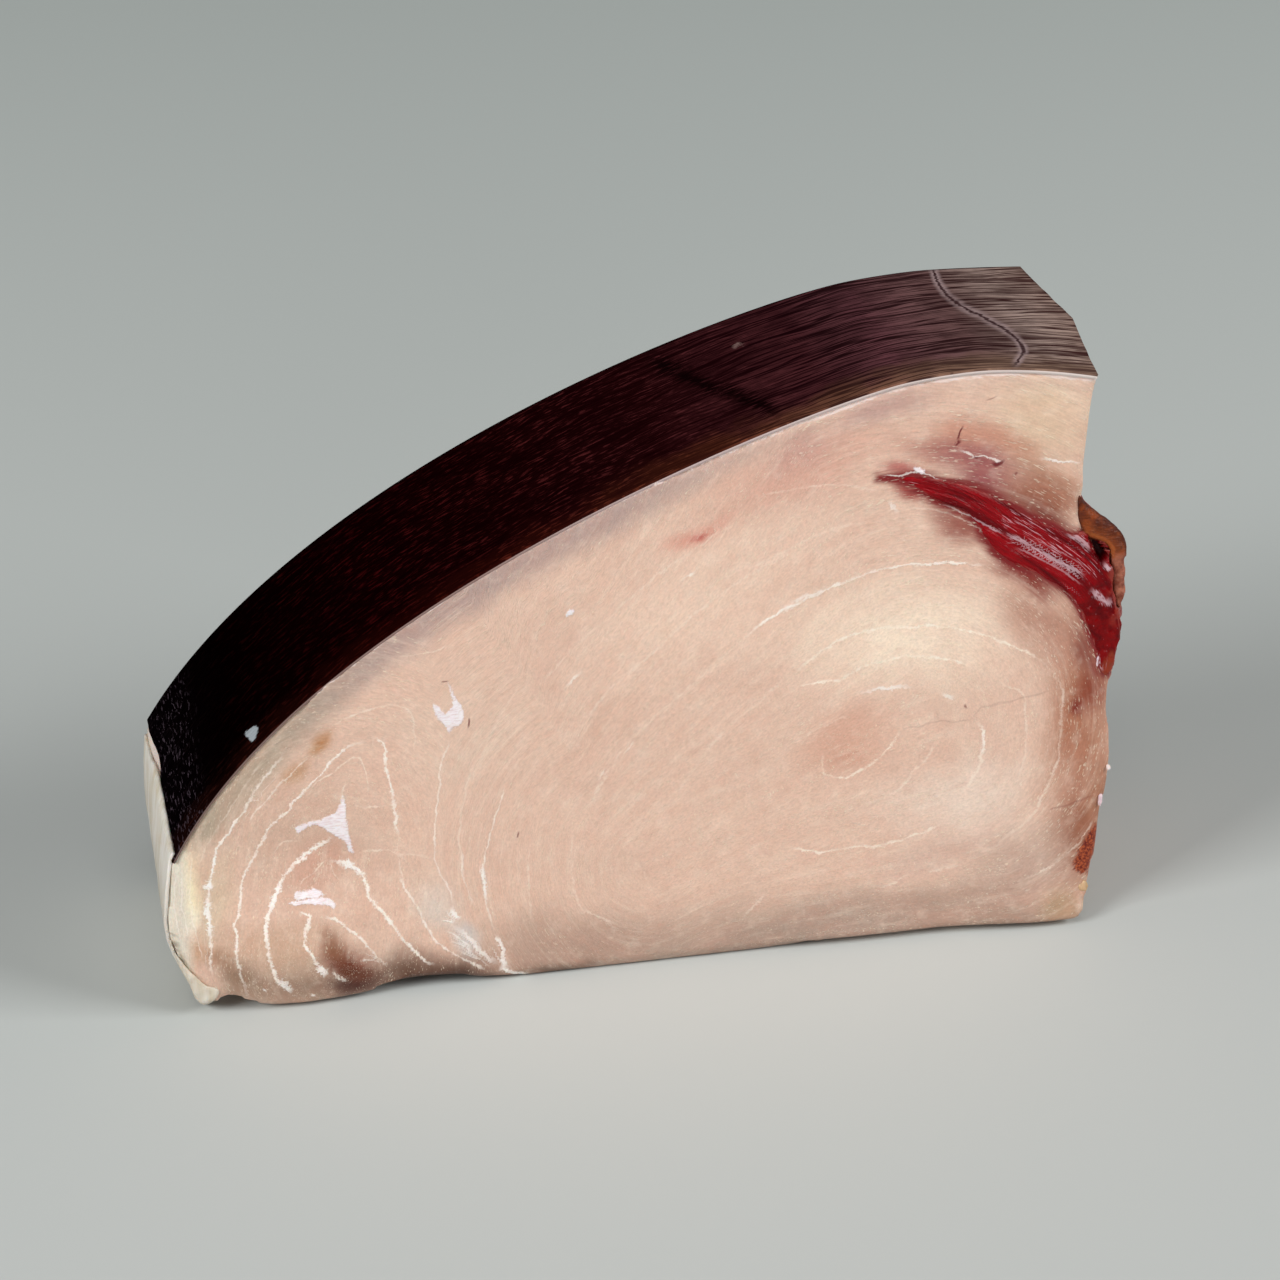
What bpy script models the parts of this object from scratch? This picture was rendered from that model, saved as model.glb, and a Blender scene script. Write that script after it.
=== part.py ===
# A swordfish loin portion: one thick slice, cut straight across the fish, standing on its trimmed side.
# X runs along the slice from the thin belly end to the thick end, Y through its thickness and Z up.
# The skin arches over the top, the two knife cuts face -Y and +Y, and the origin is under the middle.

import math

import bmesh
import bpy
from mathutils import Vector, noise

MM = 0.001

# Driving sizes, in millimetres
THICKNESS = 40.5
SECTIONS = 11
CUT_GRID = 5.5

# The skin line on each knife cut: the tip and corner that end it, its crest, its reach to the belly end,
# how early and how steeply it comes down there, and how it droops past the crest
FRONT_ARCH = {
    "tip": -71.5,
    "corner": 66.5,
    "crest": 43.2,
    "height": 94.2,
    "reach": 120.8,
    "bow": 1.2,
    "drop": 2.2,
    "droop": 0.005,
}
BACK_ARCH = {
    "tip": -71.3,
    "corner": 67.2,
    "crest": 45.2,
    "height": 93.8,
    "reach": 124.9,
    "bow": 1.3,
    "drop": 2.08,
    "droop": 0.0015,
}
ARCH_STEPS = 46
ARCH_SPACING = 1.3
CREST_REACH = 22.0
CREST_SOFTNESS = 9.0

# The thick end down from the skin's corner, as (x, z): a shallow hollow, the torn dark muscle, then flesh
FRONT_THICK_END = (
    ((65.5, 81.5), (65.3, 74.8), (66.6, 70.8), (71.4, 66.5))
    + ((72.6, 57.0), (72.4, 46.5), (71.2, 37.5), (72.4, 27.5))
    + ((71.3, 18.0), (70.3, 7.0), (68.4, 1.6), (65.6, 0.0))
)
BACK_THICK_END = (
    ((66.0, 83.0), (65.6, 76.0), (67.0, 71.0), (70.6, 65.5))
    + ((72.0, 56.5), (71.6, 46.0), (71.0, 37.0), (71.6, 27.0))
    + ((70.6, 17.0), (69.8, 7.5), (68.0, 1.8), (65.0, 0.0))
)
THICK_END_STEPS = 30

# The foot is flat from the thick end to here, then come a small arch, the belly lobe and a membrane tip
FOOT_STEPS = 13
FRONT_BELLY_FOOT = (
    ((-20.0, 0.0), (-25.5, 0.6), (-31.0, 1.6), (-36.0, 1.9))
    + ((-40.0, 1.5), (-45.0, 0.5), (-51.5, 0.0), (-57.0, 0.1))
    + ((-61.5, 1.5), (-64.6, 3.2), (-66.4, 1.3), (-68.2, 1.5))
)
BACK_BELLY_FOOT = (
    ((-20.0, 0.0), (-25.5, 0.2), (-31.0, 0.8), (-36.0, 1.1))
    + ((-40.0, 1.0), (-45.0, 0.5), (-51.5, 0.2), (-57.0, 0.3))
    + ((-61.0, 0.8), (-64.2, 1.6), (-66.6, 2.2), (-68.4, 3.4))
)
BELLY_FOOT_STEPS = 22

# The belly end from the foot up towards the skin's tip
FRONT_BELLY_END = ((-68.2, 1.5), (-70.4, 7.0), (-72.6, 13.0), (-72.4, 20.0))
BACK_BELLY_END = ((-68.4, 3.4), (-70.6, 8.5), (-71.9, 15.0), (-71.9, 22.0))
BELLY_END_STEPS = 10

# Soft swellings of the two knife cuts
LOBE_CENTRE = (-53.0, 10.0)
LOBE_REACH = (19.0, 15.0)
LOBE_SWELL = 3.2
LOBE_DEPTH = 15.0
CROWN_CENTRE = (0.0, 42.0)
CROWN_REACH = (80.0, 60.0)
CUT_CROWN = 0.5
THICK_END_BULGE = 1.5

# The torn dark muscle on the thick end
TORN_CENTRE = (72.0, 59.0)
TORN_REACH = (9.0, 15.0)
TORN_RELIEF = 1.3
TORN_GRAIN = 6.5

FLESH_COLOUR = (0.66, 0.43, 0.32, 1.0)
FLESH_ROUGHNESS = 0.38
SMOOTH_ANGLE = math.radians(35)


def clear_scene():
    for thing in list(bpy.data.objects):
        bpy.data.objects.remove(thing, do_unlink=True)


def raw_arch_height(x, arch):
    """Height of the skin line above the foot at x, with a tight turn at the crest."""
    if x > arch["crest"]:
        return arch["height"] - arch["droop"] * (x - arch["crest"]) ** 2
    run = ((arch["crest"] - x) / arch["reach"]) ** arch["bow"]
    return arch["height"] * (1.0 - run) ** (1.0 / arch["drop"])


def arch_height(x, arch):
    """Height of the skin line above the foot at x, with its crest softened."""
    spread = CREST_SOFTNESS * hump((x - arch["crest"]) / CREST_REACH)
    samples = [raw_arch_height(x + spread * step / 3, arch) for step in range(-3, 4)]
    return sum(samples) / len(samples)


def arch_line(arch):
    """The skin line from the tip to the corner, closer spaced where it is steep."""
    line = []
    for step in range(ARCH_STEPS):
        x = arch["tip"] + (arch["corner"] - arch["tip"]) * (step / ARCH_STEPS) ** ARCH_SPACING
        line.append(Vector((x, arch_height(x, arch))))
    return line


def smooth_line(points, steps):
    """Evenly numbered points on a smooth curve through the given ones, without its last point."""
    knots = [Vector(point) for point in points]
    line = []
    for step in range(steps):
        place = step / steps * (len(knots) - 1)
        index = int(place)
        t = place - index
        before = knots[max(index - 1, 0)]
        start, end = knots[index], knots[index + 1]
        after = knots[min(index + 2, len(knots) - 1)]
        tangent_in = (end - before) / 2
        tangent_out = (after - start) / 2
        line.append(
            start * (2 * t**3 - 3 * t**2 + 1)
            + tangent_in * (t**3 - 2 * t**2 + t)
            + end * (3 * t**2 - 2 * t**3)
            + tangent_out * (t**3 - t**2)
        )
    return line


def foot_line(right, left):
    return [Vector((right + (left - right) * step / FOOT_STEPS, 0.0)) for step in range(FOOT_STEPS)]


def cut_outline(arch, thick_end, belly_foot, belly_end):
    """One knife cut's outline, clockwise as seen from the front, starting at the skin's tip."""
    tip = (arch["tip"], arch_height(arch["tip"], arch))
    corner = (arch["corner"], arch_height(arch["corner"], arch))
    top = arch_line(arch)
    thick = smooth_line((corner,) + thick_end, THICK_END_STEPS)
    foot = foot_line(thick_end[-1][0], belly_foot[0][0])
    belly = smooth_line(belly_foot, BELLY_FOOT_STEPS)
    end = smooth_line(belly_end + (tip,), BELLY_END_STEPS)
    return top + thick + foot + belly + end


def hump(value):
    """A smooth bump: 1 at 0, and flat 0 from 1 outwards."""
    return (1.0 - value * value) ** 2 if abs(value) < 1.0 else 0.0


def section_outline(front, back, depth):
    """The outline at a depth from 0 on the front cut to 1 on the back cut."""
    bulge = THICK_END_BULGE * math.sin(math.pi * depth)
    first = ARCH_STEPS
    last = ARCH_STEPS + THICK_END_STEPS
    outline = []
    for index, (near, far) in enumerate(zip(front, back)):
        point = near.lerp(far, depth)
        point.y = max(point.y, 0.0)
        if first <= index < last:
            point.x += bulge * (1.0 - ((index - first) / (last - first)) ** 2)
        outline.append(point)
    return outline


def loft_sides(bm, front, back):
    """Extrudes the front outline through the thickness, section by section."""
    start = section_outline(front, back, 0.0)
    verts = [bm.verts.new((point.x, -THICKNESS / 2, point.y)) for point in start]
    edges = [bm.edges.new((verts[i - 1], verts[i])) for i in range(len(verts))]
    front_loop = list(edges)
    for section in range(1, SECTIONS):
        depth = section / (SECTIONS - 1)
        grown = bmesh.ops.extrude_edge_only(bm, edges=edges)["geom"]
        edges = [item for item in grown if isinstance(item, bmesh.types.BMEdge)]
        verts = list(next_ring(verts, grown))
        for vert, point in zip(verts, section_outline(front, back, depth)):
            vert.co = (point.x, THICKNESS * (depth - 0.5), point.y)
    return front_loop, edges


def next_ring(verts, grown):
    """The extruded copy of each vert of a ring, in the ring's order."""
    new_verts = {item for item in grown if isinstance(item, bmesh.types.BMVert)}
    for vert in verts:
        for edge in vert.link_edges:
            if edge.other_vert(vert) in new_verts:
                yield edge.other_vert(vert)
                break


def fill_cut(bm, loop):
    """Closes one knife cut and slices it into a grid, so that it can swell."""
    low, high = box_of(bm)
    cap = set(bmesh.ops.contextual_create(bm, geom=loop)["faces"])
    for axis, normal in ((0, Vector((1, 0, 0))), (2, Vector((0, 0, 1)))):
        slices = int((high[axis] - low[axis]) / CUT_GRID) + 1
        for step in range(1, slices):
            place = normal * (low[axis] + (high[axis] - low[axis]) * step / slices)
            faces = [face for face in bm.faces if face in cap]
            edges = [edge for edge in bm.edges if not cap.isdisjoint(edge.link_faces)]
            verts = [vert for vert in bm.verts if not cap.isdisjoint(vert.link_faces)]
            cut = bmesh.ops.bisect_plane(
                bm, geom=faces + edges + verts, plane_co=place, plane_no=normal, dist=1e-4
            )
            cap = {item for item in cut["geom"] if isinstance(item, bmesh.types.BMFace)}


def around(x, z, centre, reach):
    """1 at the centre of an oval, falling smoothly to 0 at its rim."""
    return hump(math.hypot((x - centre[0]) / reach[0], (z - centre[1]) / reach[1]))


def swell(vert):
    """Pushes the belly lobe and the soft middle of each knife cut outwards."""
    x, y, z = vert.co
    from_front = (y + THICKNESS / 2) / LOBE_DEPTH
    vert.co.y -= LOBE_SWELL * around(x, z, LOBE_CENTRE, LOBE_REACH) * hump(from_front)
    vert.co.y += CUT_CROWN * around(x, z, CROWN_CENTRE, CROWN_REACH) * (2 * y / THICKNESS) ** 3


def tear(vert):
    """Roughens the torn dark muscle on the thick end."""
    x, y, z = vert.co
    relief = noise.noise(Vector((y, 0.0, z)) / TORN_GRAIN) * TORN_RELIEF
    vert.co.x += relief * around(x, z, TORN_CENTRE, TORN_REACH)


def box_of(bm):
    """The lowest and highest corner."""
    low = Vector([min(vert.co[axis] for vert in bm.verts) for axis in range(3)])
    high = Vector([max(vert.co[axis] for vert in bm.verts) for axis in range(3)])
    return low, high


def stand_on_origin(bm):
    """Moves the loin so that the origin is under the middle of its box."""
    low, high = box_of(bm)
    middle = (low + high) / 2
    middle.z = low.z
    bmesh.ops.translate(bm, vec=-middle, verts=bm.verts)


def loin_mesh():
    front = cut_outline(FRONT_ARCH, FRONT_THICK_END, FRONT_BELLY_FOOT, FRONT_BELLY_END)
    back = cut_outline(BACK_ARCH, BACK_THICK_END, BACK_BELLY_FOOT, BACK_BELLY_END)
    bm = bmesh.new()
    front_loop, back_loop = loft_sides(bm, front, back)
    fill_cut(bm, front_loop)
    fill_cut(bm, back_loop)
    for vert in bm.verts:
        tear(vert)
        swell(vert)
    stand_on_origin(bm)
    bmesh.ops.scale(bm, vec=(MM, MM, MM), verts=bm.verts)
    bmesh.ops.triangulate(bm, faces=bm.faces)
    bmesh.ops.recalc_face_normals(bm, faces=bm.faces)
    mesh = bpy.data.meshes.new("loin")
    bm.to_mesh(mesh)
    bm.free()
    mesh.shade_smooth()
    mesh.set_sharp_from_angle(angle=SMOOTH_ANGLE)
    return mesh


def flesh_material():
    material = bpy.data.materials.new("flesh")
    material.use_nodes = True
    shader = material.node_tree.nodes["Principled BSDF"]
    shader.inputs["Base Color"].default_value = FLESH_COLOUR
    shader.inputs["Roughness"].default_value = FLESH_ROUGHNESS
    shader.inputs["Metallic"].default_value = 0.0
    return material


def main():
    clear_scene()
    loin = bpy.data.objects.new("loin", loin_mesh())
    loin.data.materials.append(flesh_material())
    bpy.context.scene.collection.objects.link(loin)


main()
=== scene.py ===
import math

import bmesh
import bpy
import numpy as np
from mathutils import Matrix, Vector, noise
from mathutils.bvhtree import BVHTree


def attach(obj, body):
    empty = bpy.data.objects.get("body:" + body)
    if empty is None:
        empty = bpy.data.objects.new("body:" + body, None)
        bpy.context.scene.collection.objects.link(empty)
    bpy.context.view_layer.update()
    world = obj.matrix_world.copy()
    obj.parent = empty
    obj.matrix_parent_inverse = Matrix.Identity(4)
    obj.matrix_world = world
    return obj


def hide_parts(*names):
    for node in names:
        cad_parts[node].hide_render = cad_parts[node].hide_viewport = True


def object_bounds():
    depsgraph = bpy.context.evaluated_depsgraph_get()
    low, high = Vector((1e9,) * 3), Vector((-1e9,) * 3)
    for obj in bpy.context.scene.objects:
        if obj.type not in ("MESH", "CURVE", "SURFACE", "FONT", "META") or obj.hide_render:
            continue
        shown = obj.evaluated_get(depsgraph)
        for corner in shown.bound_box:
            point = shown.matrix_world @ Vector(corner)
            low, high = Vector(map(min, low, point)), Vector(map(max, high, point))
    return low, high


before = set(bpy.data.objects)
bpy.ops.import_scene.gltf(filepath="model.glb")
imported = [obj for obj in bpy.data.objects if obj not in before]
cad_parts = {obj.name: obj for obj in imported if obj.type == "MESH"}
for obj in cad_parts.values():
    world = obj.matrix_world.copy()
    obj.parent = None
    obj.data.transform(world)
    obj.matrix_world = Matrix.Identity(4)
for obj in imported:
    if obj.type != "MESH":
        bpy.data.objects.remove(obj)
cadLow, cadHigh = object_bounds()
mm = 0.001
scene = bpy.context.scene
scene.view_settings.view_transform = "Standard"


def srgb(r, g, b):
    # a colour as the eye reads it, 0 to 255, made the linear one that shaders take
    def linear(value):
        value = value / 255
        return value / 12.92 if value <= 0.04045 else ((value + 0.055) / 1.055) ** 2.4
    return (linear(r), linear(g), linear(b))


def smoothStep(low, high, value):
    t = np.clip((value - low) / (high - low), 0.0, 1.0)
    return t * t * (3 - 2 * t)


def linkObject(name, data):
    obj = bpy.data.objects.new(name, data)
    scene.collection.objects.link(obj)
    return obj


def meshFrom(bm, name):
    mesh = bpy.data.meshes.new(name)
    bm.to_mesh(mesh)
    bm.free()
    return mesh


def rowsOf(items, name):
    # one row of three numbers for each vertex
    values = np.empty(len(items) * 3, np.float32)
    items.foreach_get(name, values)
    return values.reshape(-1, 3).astype(np.float64)


def pointsOf(mesh):
    # the vertices, in millimetres
    return rowsOf(mesh.vertices, "co") / mm


def movePoints(mesh, points):
    mesh.vertices.foreach_set("co", (points * mm).astype(np.float32).ravel())
    mesh.update()


def applyModifiers(obj):
    graph = bpy.context.evaluated_depsgraph_get()
    mesh = bpy.data.meshes.new_from_object(obj.evaluated_get(graph))
    obj.modifiers.clear()
    obj.data = mesh
    return mesh


def remeshed(obj, size):
    remesh = obj.modifiers.new("even", "REMESH")
    remesh.mode = "VOXEL"
    remesh.voxel_size = size * mm
    return applyModifiers(obj)


def refine(mesh, chosen):
    # cuts the chosen faces into four
    bm = bmesh.new()
    bm.from_mesh(mesh)
    edges = [edge for edge in bm.edges if chosen[edge.verts[0].index] and chosen[edge.verts[1].index]]
    bmesh.ops.subdivide_edges(bm, edges=edges, cuts=1, use_grid_fill=True)
    bm.to_mesh(mesh)
    bm.free()


def putAttribute(mesh, name, *columns):
    # one number, or three, for each vertex
    values = np.asarray(columns[0] if len(columns) == 1 else np.stack(columns, axis=1), np.float32)
    if values.ndim == 1:
        mesh.attributes.new(name, "FLOAT", "POINT").data.foreach_set("value", values)
    else:
        mesh.attributes.new(name, "FLOAT_VECTOR", "POINT").data.foreach_set("vector", values.ravel())


def noiseAt(points, scale, seed=0.0):
    # smooth noise, about -0.7 to 0.7, at each row of points
    shift = Vector((seed, seed * 1.7, -seed))
    return np.array([noise.noise(Vector(point) / scale + shift) for point in points])


def shakenBy(points, scale, amount):
    # a small shift of each point's place in the photo
    return np.stack([noiseAt(points, scale, 1.0), noiseAt(points, scale, 5.0)], axis=1) * amount


# the camera stands where the photo was taken
photo = {
    "size": 1280,          # pixels, each way
    "focal": 3700,         # pixels
    "azimuth": -12.0,      # degrees; 0 looks along +Y
    "elevation": 26.6,
    "distance": 564.4,     # mm, from the aim point
    "aim": (2.09, 1.34, 45.16),
    "sensor": 36.0,
}


def cameraAxes():
    azimuth = math.radians(photo["azimuth"])
    tilt = math.radians(photo["elevation"])
    back = Vector((math.sin(azimuth) * math.cos(tilt), -math.cos(azimuth) * math.cos(tilt), math.sin(tilt)))
    right = (-back).cross(Vector((0, 0, 1))).normalized()
    return back, right, right.cross(-back)


viewBack, viewRight, viewUp = cameraAxes()
eye = Vector(photo["aim"]) + viewBack * photo["distance"]


def makeCamera():
    camera = bpy.data.cameras.new("photoCamera")
    camera.sensor_width = photo["sensor"]
    camera.lens = photo["focal"] / photo["size"] * photo["sensor"]
    camera.clip_start = 0.01
    obj = linkObject("photoCamera", camera)
    obj.location = eye * mm
    obj.rotation_euler = viewBack.to_track_quat("Z", "Y").to_euler()
    scene.camera = obj


frontCut = cadLow.y / mm + 3.18    # the front knife cut's plane, behind the lobe's swelling
backCut = cadHigh.y / mm - 0.5


def cutPoint(pixel, y=frontCut):
    # where a pixel of the photo meets the plane at y, in mm
    middle = photo["size"] / 2
    across = (pixel[0] - middle) / photo["focal"]
    down = (pixel[1] - middle) / photo["focal"]
    ray = viewRight * across - viewUp * down - viewBack
    return eye + ray * ((y - eye.y) / ray.y)


def pixelsOf(points):
    # where the photo shows each row of points
    away = points - np.array(eye)
    scale = photo["focal"] / (away @ -np.array(viewBack))
    middle = photo["size"] / 2
    across = middle + away @ np.array(viewRight) * scale
    down = middle - away @ np.array(viewUp) * scale
    return np.stack([across, down], axis=1)


def cutSlab(name, outline, y, reach, lead=0.0):
    # a slab whose outline is given in the photo's pixels on the plane y, carried back by reach, in mm
    bm = bmesh.new()
    reach = Vector(reach)
    face = bm.faces.new([bm.verts.new((cutPoint(pixel, y) - reach * lead) * mm) for pixel in outline])
    grown = bmesh.ops.extrude_face_region(bm, geom=[face])
    moved = [item for item in grown["geom"] if isinstance(item, bmesh.types.BMVert)]
    bmesh.ops.translate(bm, vec=reach * (1 + lead) * mm, verts=moved)
    bmesh.ops.recalc_face_normals(bm, faces=bm.faces)
    return linkObject(name, meshFrom(bm, name))


makeCamera()
print("camera set")


# each light: place and size in metres, power in watts, tint
lights = {
    "leftKey": ((-1.4, -0.66, 0.92), (0.8, 0.6), 21.6, (1.0, 0.995, 0.985)),
    "rightKey": ((1.35, -0.68, 0.95), (0.9, 0.7), 20.2, (1.0, 0.995, 0.985)),
    "front": ((-0.1, -1.7, 0.24), (0.9, 0.3), 5.2, (1.0, 0.995, 0.985)),
    "top": ((0.0, -0.5, 1.4), (0.8, 0.6), 2.6, (0.98, 0.99, 1.0)),
}
room = {"tint": (0.95, 0.98, 1.0), "strength": 0.05}
floorLook = {
    "near": srgb(198, 202, 200),
    "far": srgb(203, 212, 208),
    "fade": (-0.2, 0.9),     # where it goes from near to far, in metres; painted light: the floor grows a little lighter towards the back
    "size": 6.0,
    "below": 0.0002,
    "roughness": 0.9,
    "specular": 0.2,
}


def makeLights():
    for name, (place, size, power, tint) in lights.items():
        data = bpy.data.lights.new(name, "AREA")
        data.shape = "RECTANGLE"
        data.size, data.size_y = size
        data.energy = power
        data.color = tint
        obj = linkObject(name, data)
        obj.location = place
        aim = Vector(place) - Vector((0, 0, 0.04))
        obj.rotation_euler = aim.to_track_quat("Z", "Y").to_euler()
    world = bpy.data.worlds.new("room")
    scene.world = world
    world.use_nodes = True
    sky = world.node_tree.nodes["Background"]
    sky.inputs["Color"].default_value = (*room["tint"], 1)
    sky.inputs["Strength"].default_value = room["strength"]


# short names for the shader nodes that every material uses
def addNode(tree, kind, inputs, **settings):
    made = tree.nodes.new(kind)
    for name, value in settings.items():
        setattr(made, name, value)
    for key, value in inputs.items():
        socket = made.inputs[key]
        if isinstance(value, bpy.types.NodeSocket):
            tree.links.new(value, socket)
        else:
            socket.default_value = value
    return made


def calc(tree, operation, a, b=0.0):
    return addNode(tree, "ShaderNodeMath", {0: a, 1: b}, operation=operation).outputs[0]


def times(tree, a, b):
    return calc(tree, "MULTIPLY", a, b)


def plus(tree, a, b):
    return calc(tree, "ADD", a, b)


def combine(tree, x, y, z):
    return addNode(tree, "ShaderNodeCombineXYZ", {0: x, 1: y, 2: z}).outputs[0]


def ease(tree, value, low, high, start=0.0, end=1.0):
    # a smooth step from start to end as the value goes from low to high
    inputs = {"Value": value, "From Min": low, "From Max": high, "To Min": start, "To Max": end}
    return addNode(tree, "ShaderNodeMapRange", inputs, interpolation_type="SMOOTHSTEP").outputs[0]


def stretch(tree, vector, factors):
    return addNode(tree, "ShaderNodeVectorMath", {0: vector, 1: factors}, operation="MULTIPLY").outputs[0]


def grain(tree, vector, scale, detail=2.0, rough=0.5, twist=0.0):
    inputs = {"Vector": vector, "Scale": scale, "Detail": detail, "Roughness": rough, "Distortion": twist}
    return addNode(tree, "ShaderNodeTexNoise", inputs).outputs[0]


def grainAlong(tree, vector, factors, detail=2.0, rough=0.5, twist=0.0):
    return grain(tree, stretch(tree, vector, factors), 1.0, detail, rough, twist)


def blendColour(tree, factor, a, b, how="MIX"):
    a = a if isinstance(a, bpy.types.NodeSocket) else (*a, 1)
    b = b if isinstance(b, bpy.types.NodeSocket) else (*b, 1)
    inputs = {"Factor": factor, "A": a, "B": b}
    return addNode(tree, "ShaderNodeMix", inputs, data_type="RGBA", blend_type=how).outputs["Result"]


def blendNumber(tree, factor, a, b):
    inputs = {"Factor": factor, "A": a, "B": b}
    return addNode(tree, "ShaderNodeMix", inputs, data_type="FLOAT").outputs["Result"]


def layOver(tree, colour, tone, value, low, high, start=0.0, end=1.0):
    # the tone over the colour, coming in as the value goes from low to high
    return blendColour(tree, ease(tree, value, low, high, start, end), colour, tone)


def readAttribute(tree, name, kind="Vector"):
    return addNode(tree, "ShaderNodeAttribute", {}, attribute_name=name).outputs[kind]


def splitVector(tree, vector):
    return addNode(tree, "ShaderNodeSeparateXYZ", {0: vector}).outputs


def readParts(tree, name):
    return splitVector(tree, readAttribute(tree, name))


def objectPlace(tree):
    return addNode(tree, "ShaderNodeTexCoord", {}).outputs["Object"]


def newMaterial(name):
    material = bpy.data.materials.new(name)
    material.use_nodes = True
    tree = material.node_tree
    return material, tree, tree.nodes["Principled BSDF"]


def finishShader(tree, shader, colour, height, look):
    # colour, bumps of a depth in mm, and the scatter below the surface: its weight and its depth in mm
    tree.links.new(colour, shader.inputs["Base Color"])
    bump = addNode(tree, "ShaderNodeBump", {"Height": height, "Distance": look["bump"] * mm, "Strength": 1.0})
    tree.links.new(bump.outputs[0], shader.inputs["Normal"])
    shader.inputs["Specular IOR Level"].default_value = look["specular"]
    if "scatter" in look:
        weight, depth = look["scatter"]
        shader.inputs["Subsurface Weight"].default_value = weight
        shader.inputs["Subsurface Scale"].default_value = depth * mm
        shader.inputs["Subsurface Radius"].default_value = look["radius"]


def newGroup(name, inputs, outputs):
    group = bpy.data.node_groups.new(name, "ShaderNodeTree")
    for label, kind, value in inputs:
        socket = group.interface.new_socket(label, in_out="INPUT", socket_type=kind)
        if value is not None:
            socket.default_value = value
    for label, kind in outputs:
        group.interface.new_socket(label, in_out="OUTPUT", socket_type=kind)
    return group, group.nodes.new("NodeGroupInput").outputs, group.nodes.new("NodeGroupOutput").inputs


def makeFibreGroup():
    # moist fibres and specks along a flow given in millimetres: x along it, y across it, z into the slice
    group, given, out = newGroup(
        "wetFibres",
        [
            ("Flow", "NodeSocketVector", None),
            ("Length", "NodeSocketFloat", 3.0),
            ("Width", "NodeSocketFloat", 0.3),
            ("Speck Size", "NodeSocketFloat", 0.4),
            ("Speck Level", "NodeSocketFloat", 0.66),
        ],
        [("Fibre", "NodeSocketFloat"), ("Speck", "NodeSocketFloat")],
    )
    along = calc(group, "DIVIDE", 1.0, given["Length"])
    across = calc(group, "DIVIDE", 1.0, given["Width"])
    factors = combine(group, along, across, across)
    fibre = grainAlong(group, given["Flow"], factors, 3.0, 0.6)
    small = calc(group, "DIVIDE", 1.0, given["Speck Size"])
    longer = times(group, small, 0.45)
    speckScale = combine(group, longer, small, small)
    dots = grainAlong(group, given["Flow"], speckScale, 1.0, 0.5)
    rows = grainAlong(group, given["Flow"], (0.12, 0.7, 0.3), 2.0, 0.5)
    uneven = times(group, calc(group, "SUBTRACT", rows, 0.5), 0.35)
    level = calc(group, "SUBTRACT", given["Speck Level"], uneven)
    over = calc(group, "SUBTRACT", dots, level)
    group.links.new(fibre, out["Fibre"])
    group.links.new(ease(group, over, 0.0, 0.07), out["Speck"])
    return group


wetFibres = makeFibreGroup()


def fibresAlong(tree, flow, length, width, glintSpeck, level):
    inputs = {"Flow": flow, "Length": length, "Width": width, "Speck Size": glintSpeck, "Speck Level": level}
    return addNode(tree, "ShaderNodeGroup", inputs, node_tree=wetFibres).outputs


def makeFloor():
    bm = bmesh.new()
    bmesh.ops.create_grid(bm, x_segments=4, y_segments=4, size=floorLook["size"] / 2)
    bmesh.ops.translate(bm, vec=(0, 0, -floorLook["below"]), verts=bm.verts)
    floor = linkObject("floor", meshFrom(bm, "floor"))
    material, tree, shader = newMaterial("floor")
    shader.inputs["Roughness"].default_value = floorLook["roughness"]
    shader.inputs["Specular IOR Level"].default_value = floorLook["specular"]
    # painted light: the floor's colour grows a little lighter towards the back
    tone = ease(tree, splitVector(tree, objectPlace(tree))["Y"], *floorLook["fade"])
    colour = blendColour(tree, tone, floorLook["near"], floorLook["far"])
    tree.links.new(colour, shader.inputs["Base Color"])
    floor.data.materials.append(material)


makeLights()
makeFloor()
print("light and floor set")


# the skin line on each knife cut, as the CAD solid has it, in mm
arch = {
    "front": {"tip": -71.5, "corner": 66.5, "crest": 43.2, "height": 94.2, "reach": 120.8,
              "bow": 1.2, "drop": 2.2, "droop": 0.005},
    "back": {"tip": -71.3, "corner": 67.2, "crest": 45.2, "height": 93.8, "reach": 124.9,
             "bow": 1.3, "drop": 2.08, "droop": 0.0015},
    "shift": (-0.6585, 1.339),    # how far the solid was moved to stand over the origin
    "thickness": 40.5,
    "soft": (9.0, 22.0),          # the crest is softened by as much, as far from it
}


def archHeight(x, side):
    line = arch[side]
    middle = np.asarray(x, float) - arch["shift"][0]
    soft, reach = arch["soft"]
    spread = soft * np.clip(1 - ((middle - line["crest"]) / reach) ** 2, 0, 1) ** 2
    total = 0.0
    for step in range(-3, 4):
        x = middle + spread * step / 3
        run = np.clip((line["crest"] - x) / line["reach"], 0.0, 1.0) ** line["bow"]
        rise = line["height"] * (1.0 - run) ** (1.0 / line["drop"])
        fall = line["height"] - line["droop"] * (x - line["crest"]) ** 2
        total = total + np.where(x > line["crest"], fall, rise)
    return total / 7


def depthOf(y):
    # 0 on the front cut, 1 on the back one
    return np.clip((np.asarray(y) - arch["shift"][1]) / arch["thickness"] + 0.5, 0.0, 1.0)


def skinHeight(x, y):
    depth = depthOf(y)
    return archHeight(x, "front") * (1 - depth) + archHeight(x, "back") * depth


def underSkin(points):
    # how far each point lies below the skin line, square to it
    x, y, z = points.T
    slope = skinHeight(x + 0.5, y) - skinHeight(x - 0.5, y)
    return (skinHeight(x, y) - z) / np.sqrt(1 + np.clip(slope, -4, 4) ** 2), slope


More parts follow.
